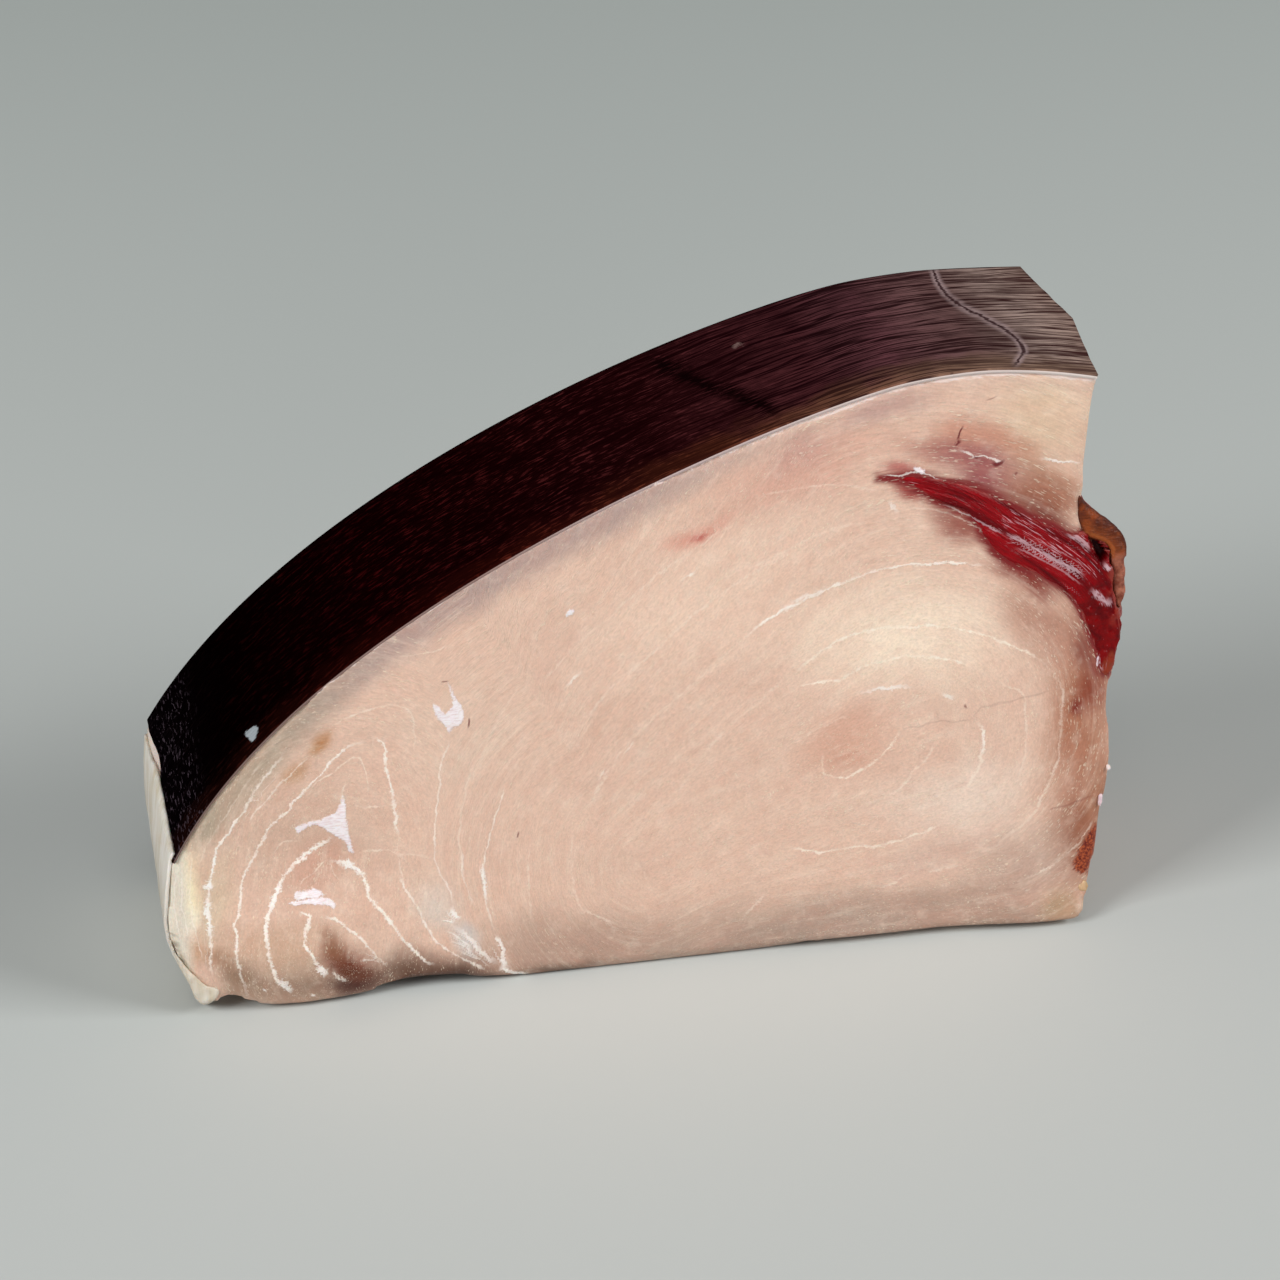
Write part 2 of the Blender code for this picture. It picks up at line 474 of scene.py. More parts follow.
def smoothLine(points, spacing):
    # a smooth curve through the points, cut into even steps
    knots = np.asarray(points, float)
    padded = np.vstack([2 * knots[0] - knots[1], knots, 2 * knots[-1] - knots[-2]])
    line = []
    for index in range(len(knots) - 1):
        before, start, end, after = padded[index:index + 4]
        count = max(int(np.linalg.norm(end - start) / spacing), 1)
        for t in np.arange(count) / count:
            line.append(
                start * (2 * t**3 - 3 * t**2 + 1) + (end - before) / 2 * (t**3 - 2 * t**2 + t)
                + end * (3 * t**2 - 2 * t**3) + (after - start) / 2 * (t**3 - t**2)
            )
    return np.vstack([line, knots[-1]])


def nearestOn(places, line):
    # for each place: distance to the line, signed distance, and how far along it the nearest point is
    best = np.full(len(places), np.inf)
    signed = np.zeros(len(places))
    along = np.zeros(len(places))
    lengths = np.linalg.norm(np.diff(line, axis=0), axis=1)
    walked = np.concatenate([[0.0], np.cumsum(lengths)])
    for index, length in enumerate(lengths):
        direction = (line[index + 1] - line[index]) / length
        away = places - line[index]
        t = np.clip(away @ direction, 0.0, length)
        offset = away - t[:, None] * direction
        distance = np.hypot(offset[:, 0], offset[:, 1])
        closer = distance < best
        best[closer] = distance[closer]
        side = np.sign(away[:, 0] * direction[1] - away[:, 1] * direction[0])
        signed[closer] = (distance * side)[closer]
        along[closer] = (walked[index] + t)[closer]
    return best, signed, along / walked[-1]


noLine = (9.0, 99.0, 0.0)    # widths away, pixels away and strength where no line is near
lineStep = 6.0               # pixels between a drawn line's points
lineReach = 12               # pixels about a line where it is looked for


def drawLines(places, lines):
    # the nearest of the named lines: signed distance in widths, distance in pixels, strength
    result = np.tile(noLine, (len(places), 1))
    for width, strength, ends, knots in lines.values():
        points = smoothLine(knots, lineStep)
        near = np.all((places > points.min(0) - lineReach) & (places < points.max(0) + lineReach), axis=1)
        rows = np.flatnonzero(near)
        if len(rows) == 0:
            continue
        distance, signed, along = nearestOn(places[rows], points)
        fade = smoothStep(0.0, ends, along) * (1 - smoothStep(1 - ends, 1.0, along))
        closer = distance < result[rows, 1]
        rows = rows[closer]
        result[rows, 0] = signed[closer] / width
        result[rows, 1] = distance[closer]
        result[rows, 2] = (strength * fade)[closer]
    return result


# the flesh: a finely meshed copy of the CAD solid, its seams and tones laid out by the photo's pixels
flesh = {
    "voxel": 1.06,           # mm
    "sink": 0.2,             # how far its top lies below the skin's outside
    # the room for the brown flap and the torn muscle, in the photo's pixels, carried back in mm
    "room": [
        (1090, 455), (1087, 468), (1085, 480), (1082, 492), (1080, 505), (1080, 514), (1082, 523),
        (1086, 532), (1090, 541), (1094, 552), (1100, 566), (1106, 585), (1108, 610), (1106, 640),
        (1111, 658), (1180, 658), (1180, 455)],
    "roomReach": (7.0, 21.0, 0.0),
    "undulation": 0.16,      # gentle waves of the knife cuts
    "waveLength": 9.0,
    "base": srgb(228, 194, 174),
    # the parts of the front cut that are meshed finer, one after another: two corners each, in pixels
    "fine": [
        ((100, 300), (1200, 1100)), ((150, 800), (545, 1040)), ((425, 675), (470, 742)),
        ((870, 420), (1030, 485))],
    "drift": (3.5, -2.0),    # how far the seams move from the front cut to the back one
    "wander": 2.6,
    "driftEnd": (45.0, 64.0),    # x where the drift dies away, in mm
    "foot": (14.0, 34.0),    # x where the bulge of the front lower edge comes in
    "bulge": (0.9, 2.0),     # how far it does so, and how much more at the thick end
    "tuck": (1.7, 0.8),      # how far its foot is drawn under, and how unevenly
    "deeper": 1.8,           # how far the flesh lies under the dark muscle at the thick end
}

# the lines on the cut, in the photo's pixels: width, strength, the share that fades at each end, points
boldSeams = {
    "bellyOuter": (1.7, 0.9, 0.12, [
        (287, 749), (273, 767), (261, 782), (252, 796), (244, 811), (232, 827), (223, 841), (217, 850),
        (215, 861), (212, 872), (210, 884), (208, 894), (207, 906), (208, 916), (210, 928), (211, 941),
        (210, 955), (211, 970), (214, 984)]),
    "bellySecond": (1.0, 0.55, 0.12, [
        (310, 759), (299, 765), (283, 782), (273, 792), (265, 802), (254, 814), (248, 826)]),
    "archLeft": (1.7, 0.9, 0.12, [
        (371, 736), (354, 745), (340, 753), (332, 760), (326, 767), (314, 782), (299, 796), (287, 810),
        (273, 824), (265, 837), (257, 850), (249, 865), (244, 875), (242, 887), (240, 906), (239, 916),
        (234, 925), (236, 937), (237, 951), (239, 966), (243, 981), (247, 992), (253, 1001)]),
    "archRight": (1.9, 0.9, 0.12, [
        (371, 736), (381, 741), (385, 749), (387, 765), (390, 782), (393, 798), (395, 814), (397, 837)]),
    "innerFat": (2.6, 1.0, 0.06, [
        (332, 836), (322, 843), (311, 850), (302, 858), (294, 865), (287, 873), (282, 881), (277, 889),
        (274, 898), (271, 906), (268, 916), (267, 923), (266, 935), (268, 949), (271, 963), (275, 977),
        (281, 985), (287, 986)]),
    "forkStem": (2.2, 0.95, 0.12, [
        (326, 860), (338, 862), (351, 863), (358, 871), (367, 884), (371, 899), (382, 912), (395, 928),
        (401, 937), (410, 947), (423, 959), (436, 966)]),
    "coreShort": (2.3, 1.0, 0.06, [
        (298, 913), (304, 915), (309, 916), (308, 923), (306, 932), (306, 943), (309, 951), (315, 960),
        (321, 967), (324, 974)]),
    "coreDots": (1.8, 0.7, 0.2, [(330, 971), (337, 977), (343, 979), (349, 981)]),
    "coreSlant": (1.9, 0.9, 0.12, [
        (324, 916), (334, 919), (341, 923), (348, 928), (358, 936), (368, 947), (377, 957), (388, 966)]),
    "coreTuft": (1.0, 0.6, 0.12, [(361, 960), (372, 960), (380, 963)]),
    "heartTail": (1.3, 0.6, 0.12, [
        (449, 736), (447, 750), (441, 766), (439, 789), (436, 812), (435, 837), (434, 858), (441, 875),
        (449, 888), (452, 901), (454, 910)]),
    "footSweepLeft": (1.6, 0.75, 0.12, [
        (397, 872), (403, 885), (413, 901), (420, 911), (424, 922), (430, 932), (437, 943), (447, 950),
        (460, 957), (478, 966), (490, 971)]),
    "longDrop": (1.2, 0.6, 0.12, [
        (506, 782), (503, 796), (496, 812), (492, 826), (489, 842), (485, 856), (482, 868), (485, 882),
        (486, 899), (489, 912), (492, 922), (496, 933)]),
    "longSide": (1.1, 0.4, 0.12, [(461, 848), (463, 862), (463, 874), (468, 890), (473, 905)]),
    "ringTop": (1.6, 0.85, 0.12, [
        (740, 642), (755, 629), (773, 616), (793, 606), (814, 596), (837, 585), (855, 578), (875, 571),
        (898, 567), (919, 564), (944, 563), (970, 564), (992, 566)]),
    "nick": (1.6, 0.75, 0.4, [(678, 584), (685, 577), (692, 574), (701, 567)]),
    "dashOne": (1.9, 0.8, 0.4, [(563, 690), (572, 680), (584, 669)]),
    "dashTwo": (1.4, 0.5, 0.4, [(598, 781), (603, 772), (609, 765)]),
    "dashThree": (1.4, 0.5, 0.4, [(622, 756), (630, 748), (637, 738)]),
    "edgeFibreA": (0.9, 0.55, 0.12, [(183, 862), (181, 885), (183, 910), (188, 940)]),
    "edgeFibreB": (0.9, 0.5, 0.12, [(192, 856), (190, 880), (191, 905), (196, 935), (203, 962)]),
    "edgeFibreC": (0.8, 0.45, 0.12, [(176, 872), (174, 895), (176, 920), (183, 944)]),
}

# the whitest, thickest strokes of fat, and painted glints: the strokes named glint are wet glints painted in
# the fat's pale colour
fatAndGlintStrokes = {
    "bellyRagged": (2.2, 0.85, 0.3, [(216, 852), (213, 866), (211, 880)]),
    "bellyHook": (3.2, 1.0, 0.25, [(201, 887), (207, 888), (213, 885)]),
    "bellyBright": (3.8, 1.0, 0.3, [
        (208, 893), (207, 903), (207, 912), (209, 921), (211, 930), (211, 940)]),
    "innerBright": (3.4, 1.0, 0.35, [(283, 879), (277, 889), (274, 898), (271, 906), (268, 918)]),
    "forkHead": (3.4, 1.0, 0.3, [(340, 862), (348, 863), (357, 870), (361, 878)]),
    "longDropHigh": (2.6, 0.9, 0.3, [(482, 862), (484, 876), (485, 888), (486, 901)]),
    "longDropLow": (2.8, 0.85, 0.2, [
        (496, 934), (498, 942), (502, 949), (502, 958), (504, 965), (509, 970)]),
    "fanTop": (3.0, 0.95, 0.3, [(450, 908), (455, 914), (460, 920)]),
    "fanStroke": (1.4, 0.95, 0.3, [(440, 921), (448, 922), (456, 925)]),
    "fanComb": (3.2, 0.75, 0.3, [(452, 926), (463, 931), (471, 941), (480, 950), (490, 959), (501, 966)]),
    "fanHairA": (1.2, 0.6, 0.35, [(444, 931), (454, 935), (464, 942), (474, 952)]),
    "fanHairB": (1.2, 0.6, 0.35, [(448, 940), (460, 944), (472, 952), (484, 961)]),
    "fanHairC": (1.1, 0.5, 0.35, [(456, 950), (468, 954), (480, 960), (492, 967)]),
    "fanHairD": (1.1, 0.5, 0.35, [(446, 908), (450, 916), (458, 924)]),
    "fanTip": (2.8, 0.95, 0.2, [(500, 966), (508, 971), (516, 974), (530, 975)]),
    "ringGlint": (2.2, 0.7, 0.45, [(852, 694), (873, 690), (893, 688), (906, 687), (921, 689)]),
    "ringDot": (2.6, 0.55, 0.4, [(942, 694), (949, 696), (956, 697)]),
    "glintRow": (1.6, 0.75, 0.3, [(1038, 459), (1052, 459), (1062, 461), (1072, 462), (1084, 463)]),
    "coreBlob": (3.6, 1.0, 0.3, [(317, 966), (322, 971), (327, 976)]),
    "innerFatBlob": (3.4, 0.95, 0.3, [(277, 982), (284, 984), (289, 988), (294, 993)]),
    "footDotA": (1.8, 0.9, 0.4, [(262, 988), (265, 990), (268, 992)]),
    "footDotB": (1.8, 0.9, 0.4, [(310, 994), (313, 995), (316, 995)]),
    "ringSpot": (3.6, 0.5, 0.45, [(781, 613), (790, 607), (800, 602)]),
    "ringBeads": (2.4, 0.6, 0.3, [(786, 603), (798, 600), (810, 595), (822, 591), (832, 588)]),
    "streakSpot": (4.0, 0.5, 0.45, [(888, 500), (893, 507), (898, 514)]),
    "glintColumn": (2.0, 0.5, 0.4, [(981, 722), (984, 736), (983, 748), (982, 760)]),
    "tipWhite": (1.1, 0.6, 0.2, [
        (880, 476), (896, 475), (907, 473), (914, 472), (921, 471), (929, 474), (936, 478), (948, 481)]),
    "purpleThread": (1.6, 0.7, 0.2, [
        (959, 450), (968, 454), (976, 456), (984, 455), (991, 457), (998, 462), (1006, 464)]),
    "muscleSeam": (1.0, 0.35, 0.25, [(940, 503), (955, 509), (973, 517), (988, 524), (1003, 532)]),
}

faintSeams = {
    "outerArch": (1.3, 0.6, 0.12, [
        (331, 727), (354, 714), (375, 708), (391, 705), (405, 708), (412, 714), (414, 733), (414, 753)]),
    "innerArch": (1.0, 0.6, 0.12, [
        (305, 800), (318, 782), (334, 771), (346, 762), (359, 758), (364, 767), (367, 782), (368, 796)]),
    "archRightLow": (1.2, 0.5, 0.12, [(397, 830), (399, 851), (401, 873), (405, 890)]),
    "crossHigh": (1.2, 0.45, 0.12, [(352, 806), (369, 807), (389, 806)]),
    "crossLow": (1.4, 0.5, 0.12, [(358, 851), (375, 850), (391, 850), (399, 853), (420, 856), (434, 859)]),
    "smearTail": (1.2, 0.8, 0.12, [(341, 806), (343, 790), (345, 781)]),
    "hookA": (1.0, 0.5, 0.12, [(273, 855), (279, 845), (285, 841), (299, 841)]),
    "hookB": (1.0, 0.5, 0.12, [(330, 861), (334, 873), (340, 881)]),
    "hookC": (1.0, 0.5, 0.12, [(328, 859), (316, 869), (304, 880), (299, 890)]),
    "leftFaint": (1.2, 0.4, 0.12, [(262, 760), (246, 784), (232, 806), (218, 828), (205, 848), (197, 870)]),
    "midFaintA": (1.2, 0.5, 0.12, [
        (477, 760), (468, 780), (463, 805), (459, 837), (460, 853), (463, 867), (466, 883)]),
    "midFaintB": (1.5, 0.4, 0.12, [(529, 847), (528, 870), (529, 893), (533, 925)]),
    "midFaintC": (1.6, 0.4, 0.12, [(574, 830), (572, 850), (573, 880), (580, 905), (598, 917), (623, 927)]),
    "skinThread": (1.2, 0.5, 0.12, [(397, 657), (418, 654), (437, 651), (449, 645)]),
    "ringTwo": (1.8, 1.0, 0.12, [
        (790, 676), (811, 660), (827, 647), (842, 639), (860, 633), (878, 629), (903, 627), (929, 626),
        (957, 629), (975, 633), (995, 639), (1015, 647), (1031, 653), (1041, 662), (1051, 670)]),
    "ringTwoSide": (1.8, 0.5, 0.12, [
        (1051, 670), (1062, 686), (1063, 700), (1061, 718), (1060, 744), (1057, 764), (1048, 785),
        (1036, 810), (1020, 826), (995, 846), (980, 854)]),
    "ringThree": (1.7, 0.9, 0.12, [
        (790, 690), (814, 683), (842, 679), (860, 668), (883, 661), (903, 657), (924, 656), (944, 659),
        (959, 662), (975, 667)]),
    "ringThreeSide": (1.6, 0.45, 0.12, [
        (995, 678), (1008, 686), (1024, 696), (1025, 718), (1026, 744), (1022, 770), (1010, 795)]),
    "ringFive": (2.0, 0.8, 0.12, [(977, 721), (984, 734), (983, 751), (980, 765), (970, 782), (959, 795)]),
    "ringCore": (1.6, 0.8, 0.12, [
        (901, 728), (893, 741), (883, 754), (868, 765), (852, 775), (834, 778), (824, 774), (821, 762),
        (824, 749)]),
    "ringCoreTop": (1.2, 0.4, 0.12, [(800, 745), (812, 732), (832, 722), (850, 716)]),
    "ringMid": (1.6, 0.4, 0.12, [(934, 739), (931, 752), (918, 767), (903, 785), (883, 798), (860, 806)]),
    "ringLow": (1.7, 0.75, 0.12, [
        (785, 846), (804, 850), (824, 852), (852, 847), (883, 845), (906, 838), (929, 831), (944, 823)]),
    "lowDashA": (1.6, 0.45, 0.12, [(870, 887), (890, 884), (908, 874)]),
    "lowDashB": (1.6, 0.45, 0.12, [(926, 873), (944, 869), (962, 864)]),
    "lowDashC": (1.8, 0.4, 0.12, [(740, 921), (755, 905), (765, 893)]),
    "lowSide": (1.5, 0.6, 0.12, [(1094, 818), (1084, 836), (1071, 849), (1046, 869), (1020, 880)]),
    "flowA": (1.8, 0.35, 0.12, [(740, 520), (700, 545), (655, 577), (610, 616), (570, 652), (535, 690)]),
    "flowB": (1.8, 0.35, 0.12, [(800, 548), (750, 575), (700, 610), (655, 650), (610, 690), (575, 730)]),
    "flowC": (1.6, 0.35, 0.12, [
        (742, 642), (710, 668), (680, 695), (650, 722), (622, 752), (600, 785), (585, 815)]),
    "flowD": (1.6, 0.3, 0.12, [(870, 520), (830, 530), (790, 548), (745, 572)]),
    "flowE": (1.6, 0.3, 0.12, [(520, 684), (508, 702), (495, 726), (484, 752), (478, 775)]),
    "flowF": (1.6, 0.3, 0.12, [(790, 676), (760, 700), (725, 730), (700, 760), (675, 800)]),
    "topThreadA": (1.4, 0.35, 0.12, [(760, 497), (800, 488), (840, 485), (880, 492)]),
    "topThreadB": (1.2, 0.4, 0.12, [(905, 508), (935, 510), (965, 520), (985, 535)]),
}

darkLines = {
    "bloodThread": (0.9, 0.95, 0.3, [(957, 443), (959, 437), (960, 431), (965, 424)]),
    "bloodDrop": (1.9, 1.0, 0.3, [(955, 446), (958, 443), (961, 441)]),
    "bloodMark": (1.9, 0.95, 0.3, [(991, 462), (996, 465), (1002, 463), (1005, 460)]),
    "bloodDot": (1.2, 0.9, 0.4, [(973, 455), (977, 457), (982, 457)]),
    "bloodDotB": (1.6, 0.8, 0.4, [(1014, 472), (1018, 474)]),
    "hairCrack": (0.8, 0.4, 0.3, [(985, 401), (992, 399), (999, 396)]),
    "ringCrack": (0.9, 0.16, 0.12, [(903, 730), (920, 726), (934, 722), (957, 721), (972, 719)]),
    "ringCrackTail": (1.0, 0.16, 0.12, [(972, 719), (982, 708), (1003, 703), (1028, 697), (1054, 690)]),
    "ringPit": (1.3, 0.7, 0.4, [(965, 704), (966, 708)]),
    "sideCrack": (0.9, 0.28, 0.12, [(1046, 811), (1060, 807), (1072, 804), (1095, 795)]),
    "fleckA": (1.0, 0.8, 0.3, [(470, 718), (469, 723), (468, 728)]),
    "fleckB": (0.8, 0.6, 0.3, [(441, 681), (449, 682)]),
    "fleckC": (0.9, 0.7, 0.3, [(519, 831), (518, 838)]),
}

# fat smeared by the knife: outlines, and spots that reach as far about their points, in pixels
smears = {
    "hookedSmear": {"outline": [
        (296, 832), (297, 827), (303, 823), (312, 821), (321, 820), (329, 815), (336, 811), (340, 804),
        (343, 794), (345, 806), (346, 818), (348, 829), (351, 841), (355, 853), (350, 852), (346, 845),
        (342, 839), (336, 837), (330, 833), (325, 828), (318, 825), (309, 826), (302, 829), (299, 833)]},
    "lensUpper": {"outline": [
        (293, 900), (295, 893), (301, 891), (312, 888), (319, 890), (325, 895), (318, 897), (308, 897),
        (299, 899)]},
    "lensLower": {"outline": [
        (287, 904), (294, 901), (303, 899), (313, 897), (322, 897), (330, 899), (336, 905), (334, 908),
        (326, 906), (315, 904), (302, 905), (293, 906)]},
    "heartSmear": {"outline": [
        (433, 703), (437, 704), (441, 710), (446, 714), (450, 708), (452, 701), (451, 692), (448, 683),
        (453, 690), (457, 700), (462, 708), (464, 717), (460, 724), (454, 728), (449, 734), (446, 728),
        (440, 722), (436, 715), (433, 709)]},
    "dashSpot": {"reach": 2.6, "points": [(567, 615), (572, 611)]},
    "tipSpot": {"reach": 2.4, "points": [(917, 469), (922, 471)]},
}

# soft zones of tone, painted in this order: centre, reach across and down, tilt in degrees, colour, strength;
# the zones named shade are painted shade
toneZones = {
    "creamMiddle": ((705, 600), (190, 90), -28, srgb(240, 209, 188), 0.8),
    "creamRings": ((905, 635), (175, 84), -6, srgb(250, 228, 206), 0.95),
    "creamLeft": ((470, 740), (90, 90), 0, srgb(230, 203, 183), 0.6),
    "pinkTop": ((800, 470), (150, 50), -22, srgb(214, 162, 144), 0.75),
    "pinkTopShade": ((800, 452), (66, 24), -22, srgb(196, 150, 140), 0.6),
    "greyTop": ((884, 408), (74, 24), -16, srgb(184, 148, 142), 0.75),
    "rosyStreakA": ((700, 534), (60, 16), -25, srgb(214, 138, 120), 0.7),
    "rosyStreakB": ((560, 655), (60, 16), -45, srgb(214, 172, 154), 0.3),
    "rosyStreakC": ((590, 730), (90, 14), -45, srgb(214, 176, 154), 0.3),
    "topRight": ((1045, 420), (80, 70), 10, srgb(224, 194, 166), 0.9),
    "topRightTan": ((1015, 450), (52, 26), 25, srgb(190, 138, 112), 0.8),
    "topRightLow": ((1055, 490), (42, 34), 35, srgb(178, 122, 94), 0.8),
    "pinkCore": ((845, 742), (78, 46), -22, srgb(219, 172, 150), 0.9),
    "pinkCoreDeep": ((838, 757), (34, 20), -30, srgb(210, 156, 134), 0.6),
    "creamRight": ((985, 795), (70, 70), 0, srgb(236, 213, 197), 0.7),
    "paleHaze": ((945, 805), (100, 60), -6, srgb(238, 216, 200), 0.6),
    "pinkRight": ((1080, 720), (58, 180), 0, srgb(168, 104, 74), 0.95),
    "pinkUnderMuscle": ((1040, 620), (80, 46), 40, srgb(178, 124, 104), 0.8),
    "mauveLow": ((940, 855), (110, 26), -12, srgb(210, 178, 163), 0.6),
    "mauveRight": ((1028, 866), (96, 54), -20, srgb(190, 161, 146), 0.85),
    "lowShade": ((900, 905), (130, 34), -6, srgb(172, 144, 130), 0.5),
    "footShade": ((820, 945), (440, 74), -4, srgb(162, 138, 124), 0.95),
    "footShadeLeft": ((560, 955), (150, 66), -4, srgb(172, 140, 124), 0.75),
    # painted shade where the foot meets the floor
    "footContactShadeRight": ((560, 972), (56, 16), -4, srgb(104, 78, 62), 0.8),
    "footShadeRight": ((1010, 925), (150, 55), -4, srgb(142, 114, 98), 0.7),
    "cornerFat": ((1068, 900), (38, 30), -20, srgb(152, 126, 92), 0.8),
    "bellyTan": ((300, 850), (120, 150), 0, srgb(206, 172, 152), 0.75),
    "bellyPink": ((320, 865), (55, 36), -30, srgb(206, 158, 138), 0.7),
    "bellyCream": ((214, 905), (30, 80), 8, srgb(216, 192, 166), 0.9),
    "bellyYellow": ((186, 888), (23, 60), 4, srgb(250, 236, 196), 1.0),
    "bellyGlow": ((187, 918), (18, 24), 20, srgb(252, 244, 222), 0.8),
    "bellyPale": ((184, 882), (17, 44), 4, srgb(255, 246, 216), 0.25),
    "bellyRust": ((193, 953), (24, 22), 30, srgb(196, 152, 116), 0.85),
    # painted shade along the belly's foot
    "bellyFootShade": ((300, 990), (120, 44), -4, srgb(146, 118, 98), 0.85),
    "bellyDusk": ((275, 945), (100, 40), 0, srgb(192, 156, 128), 0.6),
    "tabShade": ((238, 984), (44, 30), 20, srgb(144, 114, 92), 0.9),
    # painted shade: this and the next zone darken the belly's foot where it meets the floor
    "bellyFootShadeRight": ((430, 980), (128, 40), 0, srgb(92, 58, 40), 1.0),
    "footContactShade": ((458, 972), (58, 26), 0, srgb(84, 54, 40), 0.9),
    "bellyCorner": ((222, 962), (26, 22), 0, srgb(156, 116, 86), 0.75),
    # the brown patch where it meets the foot, its brown deepened with painted shade
    "patchFootAndShade": ((352, 988), (44, 22), -4, srgb(72, 18, 0), 0.95),
    "brownPatch": ((347, 958), (42, 30), 30, srgb(112, 44, 18), 1.0),
    "brownPatchLow": ((352, 972), (30, 16), 12, srgb(100, 42, 14), 1.0),
    "brownPatchHigh": ((336, 943), (26, 18), 50, srgb(140, 88, 60), 0.9),
    "tanSpotA": ((316, 742), (25, 16), -35, srgb(172, 108, 18), 0.88),
    "tanSpotB": ((290, 768), (20, 13), -35, srgb(176, 124, 66), 0.55),
    "rosyThread": ((972, 436), (70, 30), 12, srgb(198, 138, 116), 0.9),
    "pinkAbove": ((940, 452), (66, 24), 12, srgb(172, 108, 96), 0.9),
    "lavenderHaze": ((980, 473), (76, 36), 24, srgb(150, 74, 78), 1.0),
    "oliveHaze": ((1040, 497), (62, 40), 34, srgb(144, 80, 54), 0.95),
    "redHaze": ((902, 469), (30, 13), 14, srgb(178, 92, 88), 0.95),
    "haloTip": ((911, 494), (28, 13), 22, srgb(150, 24, 22), 1.0),
    "haloStep": ((958, 526), (50, 24), 30, srgb(136, 46, 34), 0.9),
    "haloTop": ((1042, 512), (60, 18), 28, srgb(126, 58, 46), 0.95),
    "haloLow": ((1020, 578), (54, 17), 26, srgb(130, 36, 22), 1.0),
    "fanHaze": ((436, 905), (36, 36), 40, srgb(226, 218, 208), 0.65),
    "fanLow": ((462, 938), (34, 14), 42, srgb(206, 204, 202), 0.7),
    "rightEdgeLow": ((1084, 832), (46, 78), 0, srgb(146, 84, 56), 0.95),
    "redSpot": ((701, 534), (12, 6), -20, srgb(186, 62, 56), 0.9),
    "sideSpot": ((1082, 707), (13, 12), 0, srgb(122, 14, 0), 1.0),
    "sideRed": ((1092, 690), (24, 34), 0, srgb(132, 46, 20), 0.85),
    "tipHalo": ((1089, 650), (21, 44), -18, srgb(118, 36, 24), 0.8),
    "sideTan": ((1100, 790), (20, 60), 0, srgb(160, 104, 74), 0.85),
}

# the rusty wedge at the foot of the thick end
rustPixels = [
    (1096, 823), (1089, 832), (1084, 841), (1079, 850), (1075, 860), (1073, 869), (1080, 873), (1087, 874),
    (1092, 864), (1096, 850), (1100, 836)]

# the dark muscle's outline and centre line on the front cut
musclePixels = {
    "outline": [
        (879, 477), (896, 476), (914, 475), (931, 477), (947, 481), (966, 484), (981, 489), (995, 495),
        (1006, 501), (1018, 508), (1030, 515), (1043, 521), (1058, 527), (1069, 532), (1079, 533),
        (1087, 531), (1095, 536), (1105, 540), (1111, 547), (1112, 560), (1113, 575), (1115, 590),
        (1117, 603), (1120, 613), (1122, 626), (1122, 640), (1119, 647), (1118, 654), (1117, 661),
        (1114, 670), (1108, 677), (1101, 674), (1097, 667), (1095, 656), (1091, 641), (1085, 627),
        (1080, 614), (1073, 602), (1062, 591), (1047, 581), (1036, 574), (1021, 568), (1006, 561),
        (995, 553), (988, 544), (979, 534), (975, 526), (968, 516), (958, 511), (944, 506), (931, 500),
        (922, 493), (907, 485), (893, 480)],
    "centre": [
        (884, 477), (925, 484), (965, 498), (1005, 523), (1045, 548), (1080, 575), (1102, 610),
        (1108, 670)],
    "hollow": [
        (1090, 537), (1097, 538), (1105, 541), (1110, 548), (1108, 556), (1102, 562), (1097, 556),
        (1093, 547)],
    # pale films on the muscle, with painted wet glints among them: band, edgeGlint, cluster, tag and tipShine
    "filmAndGlint": {
        "parting": (1.2, 0.55, 0.15, [
            (936, 503), (951, 508), (966, 514), (978, 520), (992, 528), (1005, 534)]),
        "band": (2.2, 0.65, 0.12, [
            (1003, 533), (1014, 537), (1030, 545), (1046, 554), (1060, 562), (1074, 569), (1086, 576)]),
        "edgeGlint": (3.0, 0.6, 0.3, [(1064, 533), (1072, 536), (1080, 539), (1086, 544), (1090, 552)]),
        "rim": (2.0, 0.8, 0.15, [
            (1058, 590), (1066, 595), (1074, 605), (1080, 616), (1083, 628), (1087, 636)]),
        "edge": (2.8, 0.85, 0.2, [(1092, 648), (1095, 656), (1098, 665), (1103, 672)]),
        "bandLow": (1.2, 0.4, 0.2, [
            (1012, 546), (1026, 551), (1042, 559), (1058, 568), (1072, 577), (1084, 586)]),
        "bandHigh": (1.0, 0.35, 0.3, [(1028, 536), (1044, 543), (1060, 551), (1076, 560), (1088, 568)]),
        "cluster": (3.4, 0.7, 0.3, [(1088, 588), (1095, 592), (1101, 599), (1108, 602), (1112, 596)]),
        "tag": (2.4, 0.85, 0.3, [(1103, 562), (1107, 567), (1112, 569), (1115, 574)]),
        "tipShine": (2.0, 0.8, 0.3, [(1117, 652), (1116, 660), (1112, 668)]),
    },
    "shine": [(1012, 520), (1040, 535), (1062, 548), (1084, 566), (1091, 574)],
}


def frontTwin(points):
    # the place on the front cut whose look each point carries: seams run through the slice and drift
    x, y, z = points.T
    depth = smoothStep(frontCut + 2, backCut, y)
    end = 1 - smoothStep(*flesh["driftEnd"], x)
    twin = points.copy()
    twin[:, 0] += depth * (flesh["drift"][0] * end + flesh["wander"] * noiseAt(points, 24.0, 3.0))
    twin[:, 2] += depth * (flesh["drift"][1] * end + flesh["wander"] * noiseAt(points, 21.0, 8.0))
    twin[:, 1] = np.minimum(y, frontCut)
    return twin


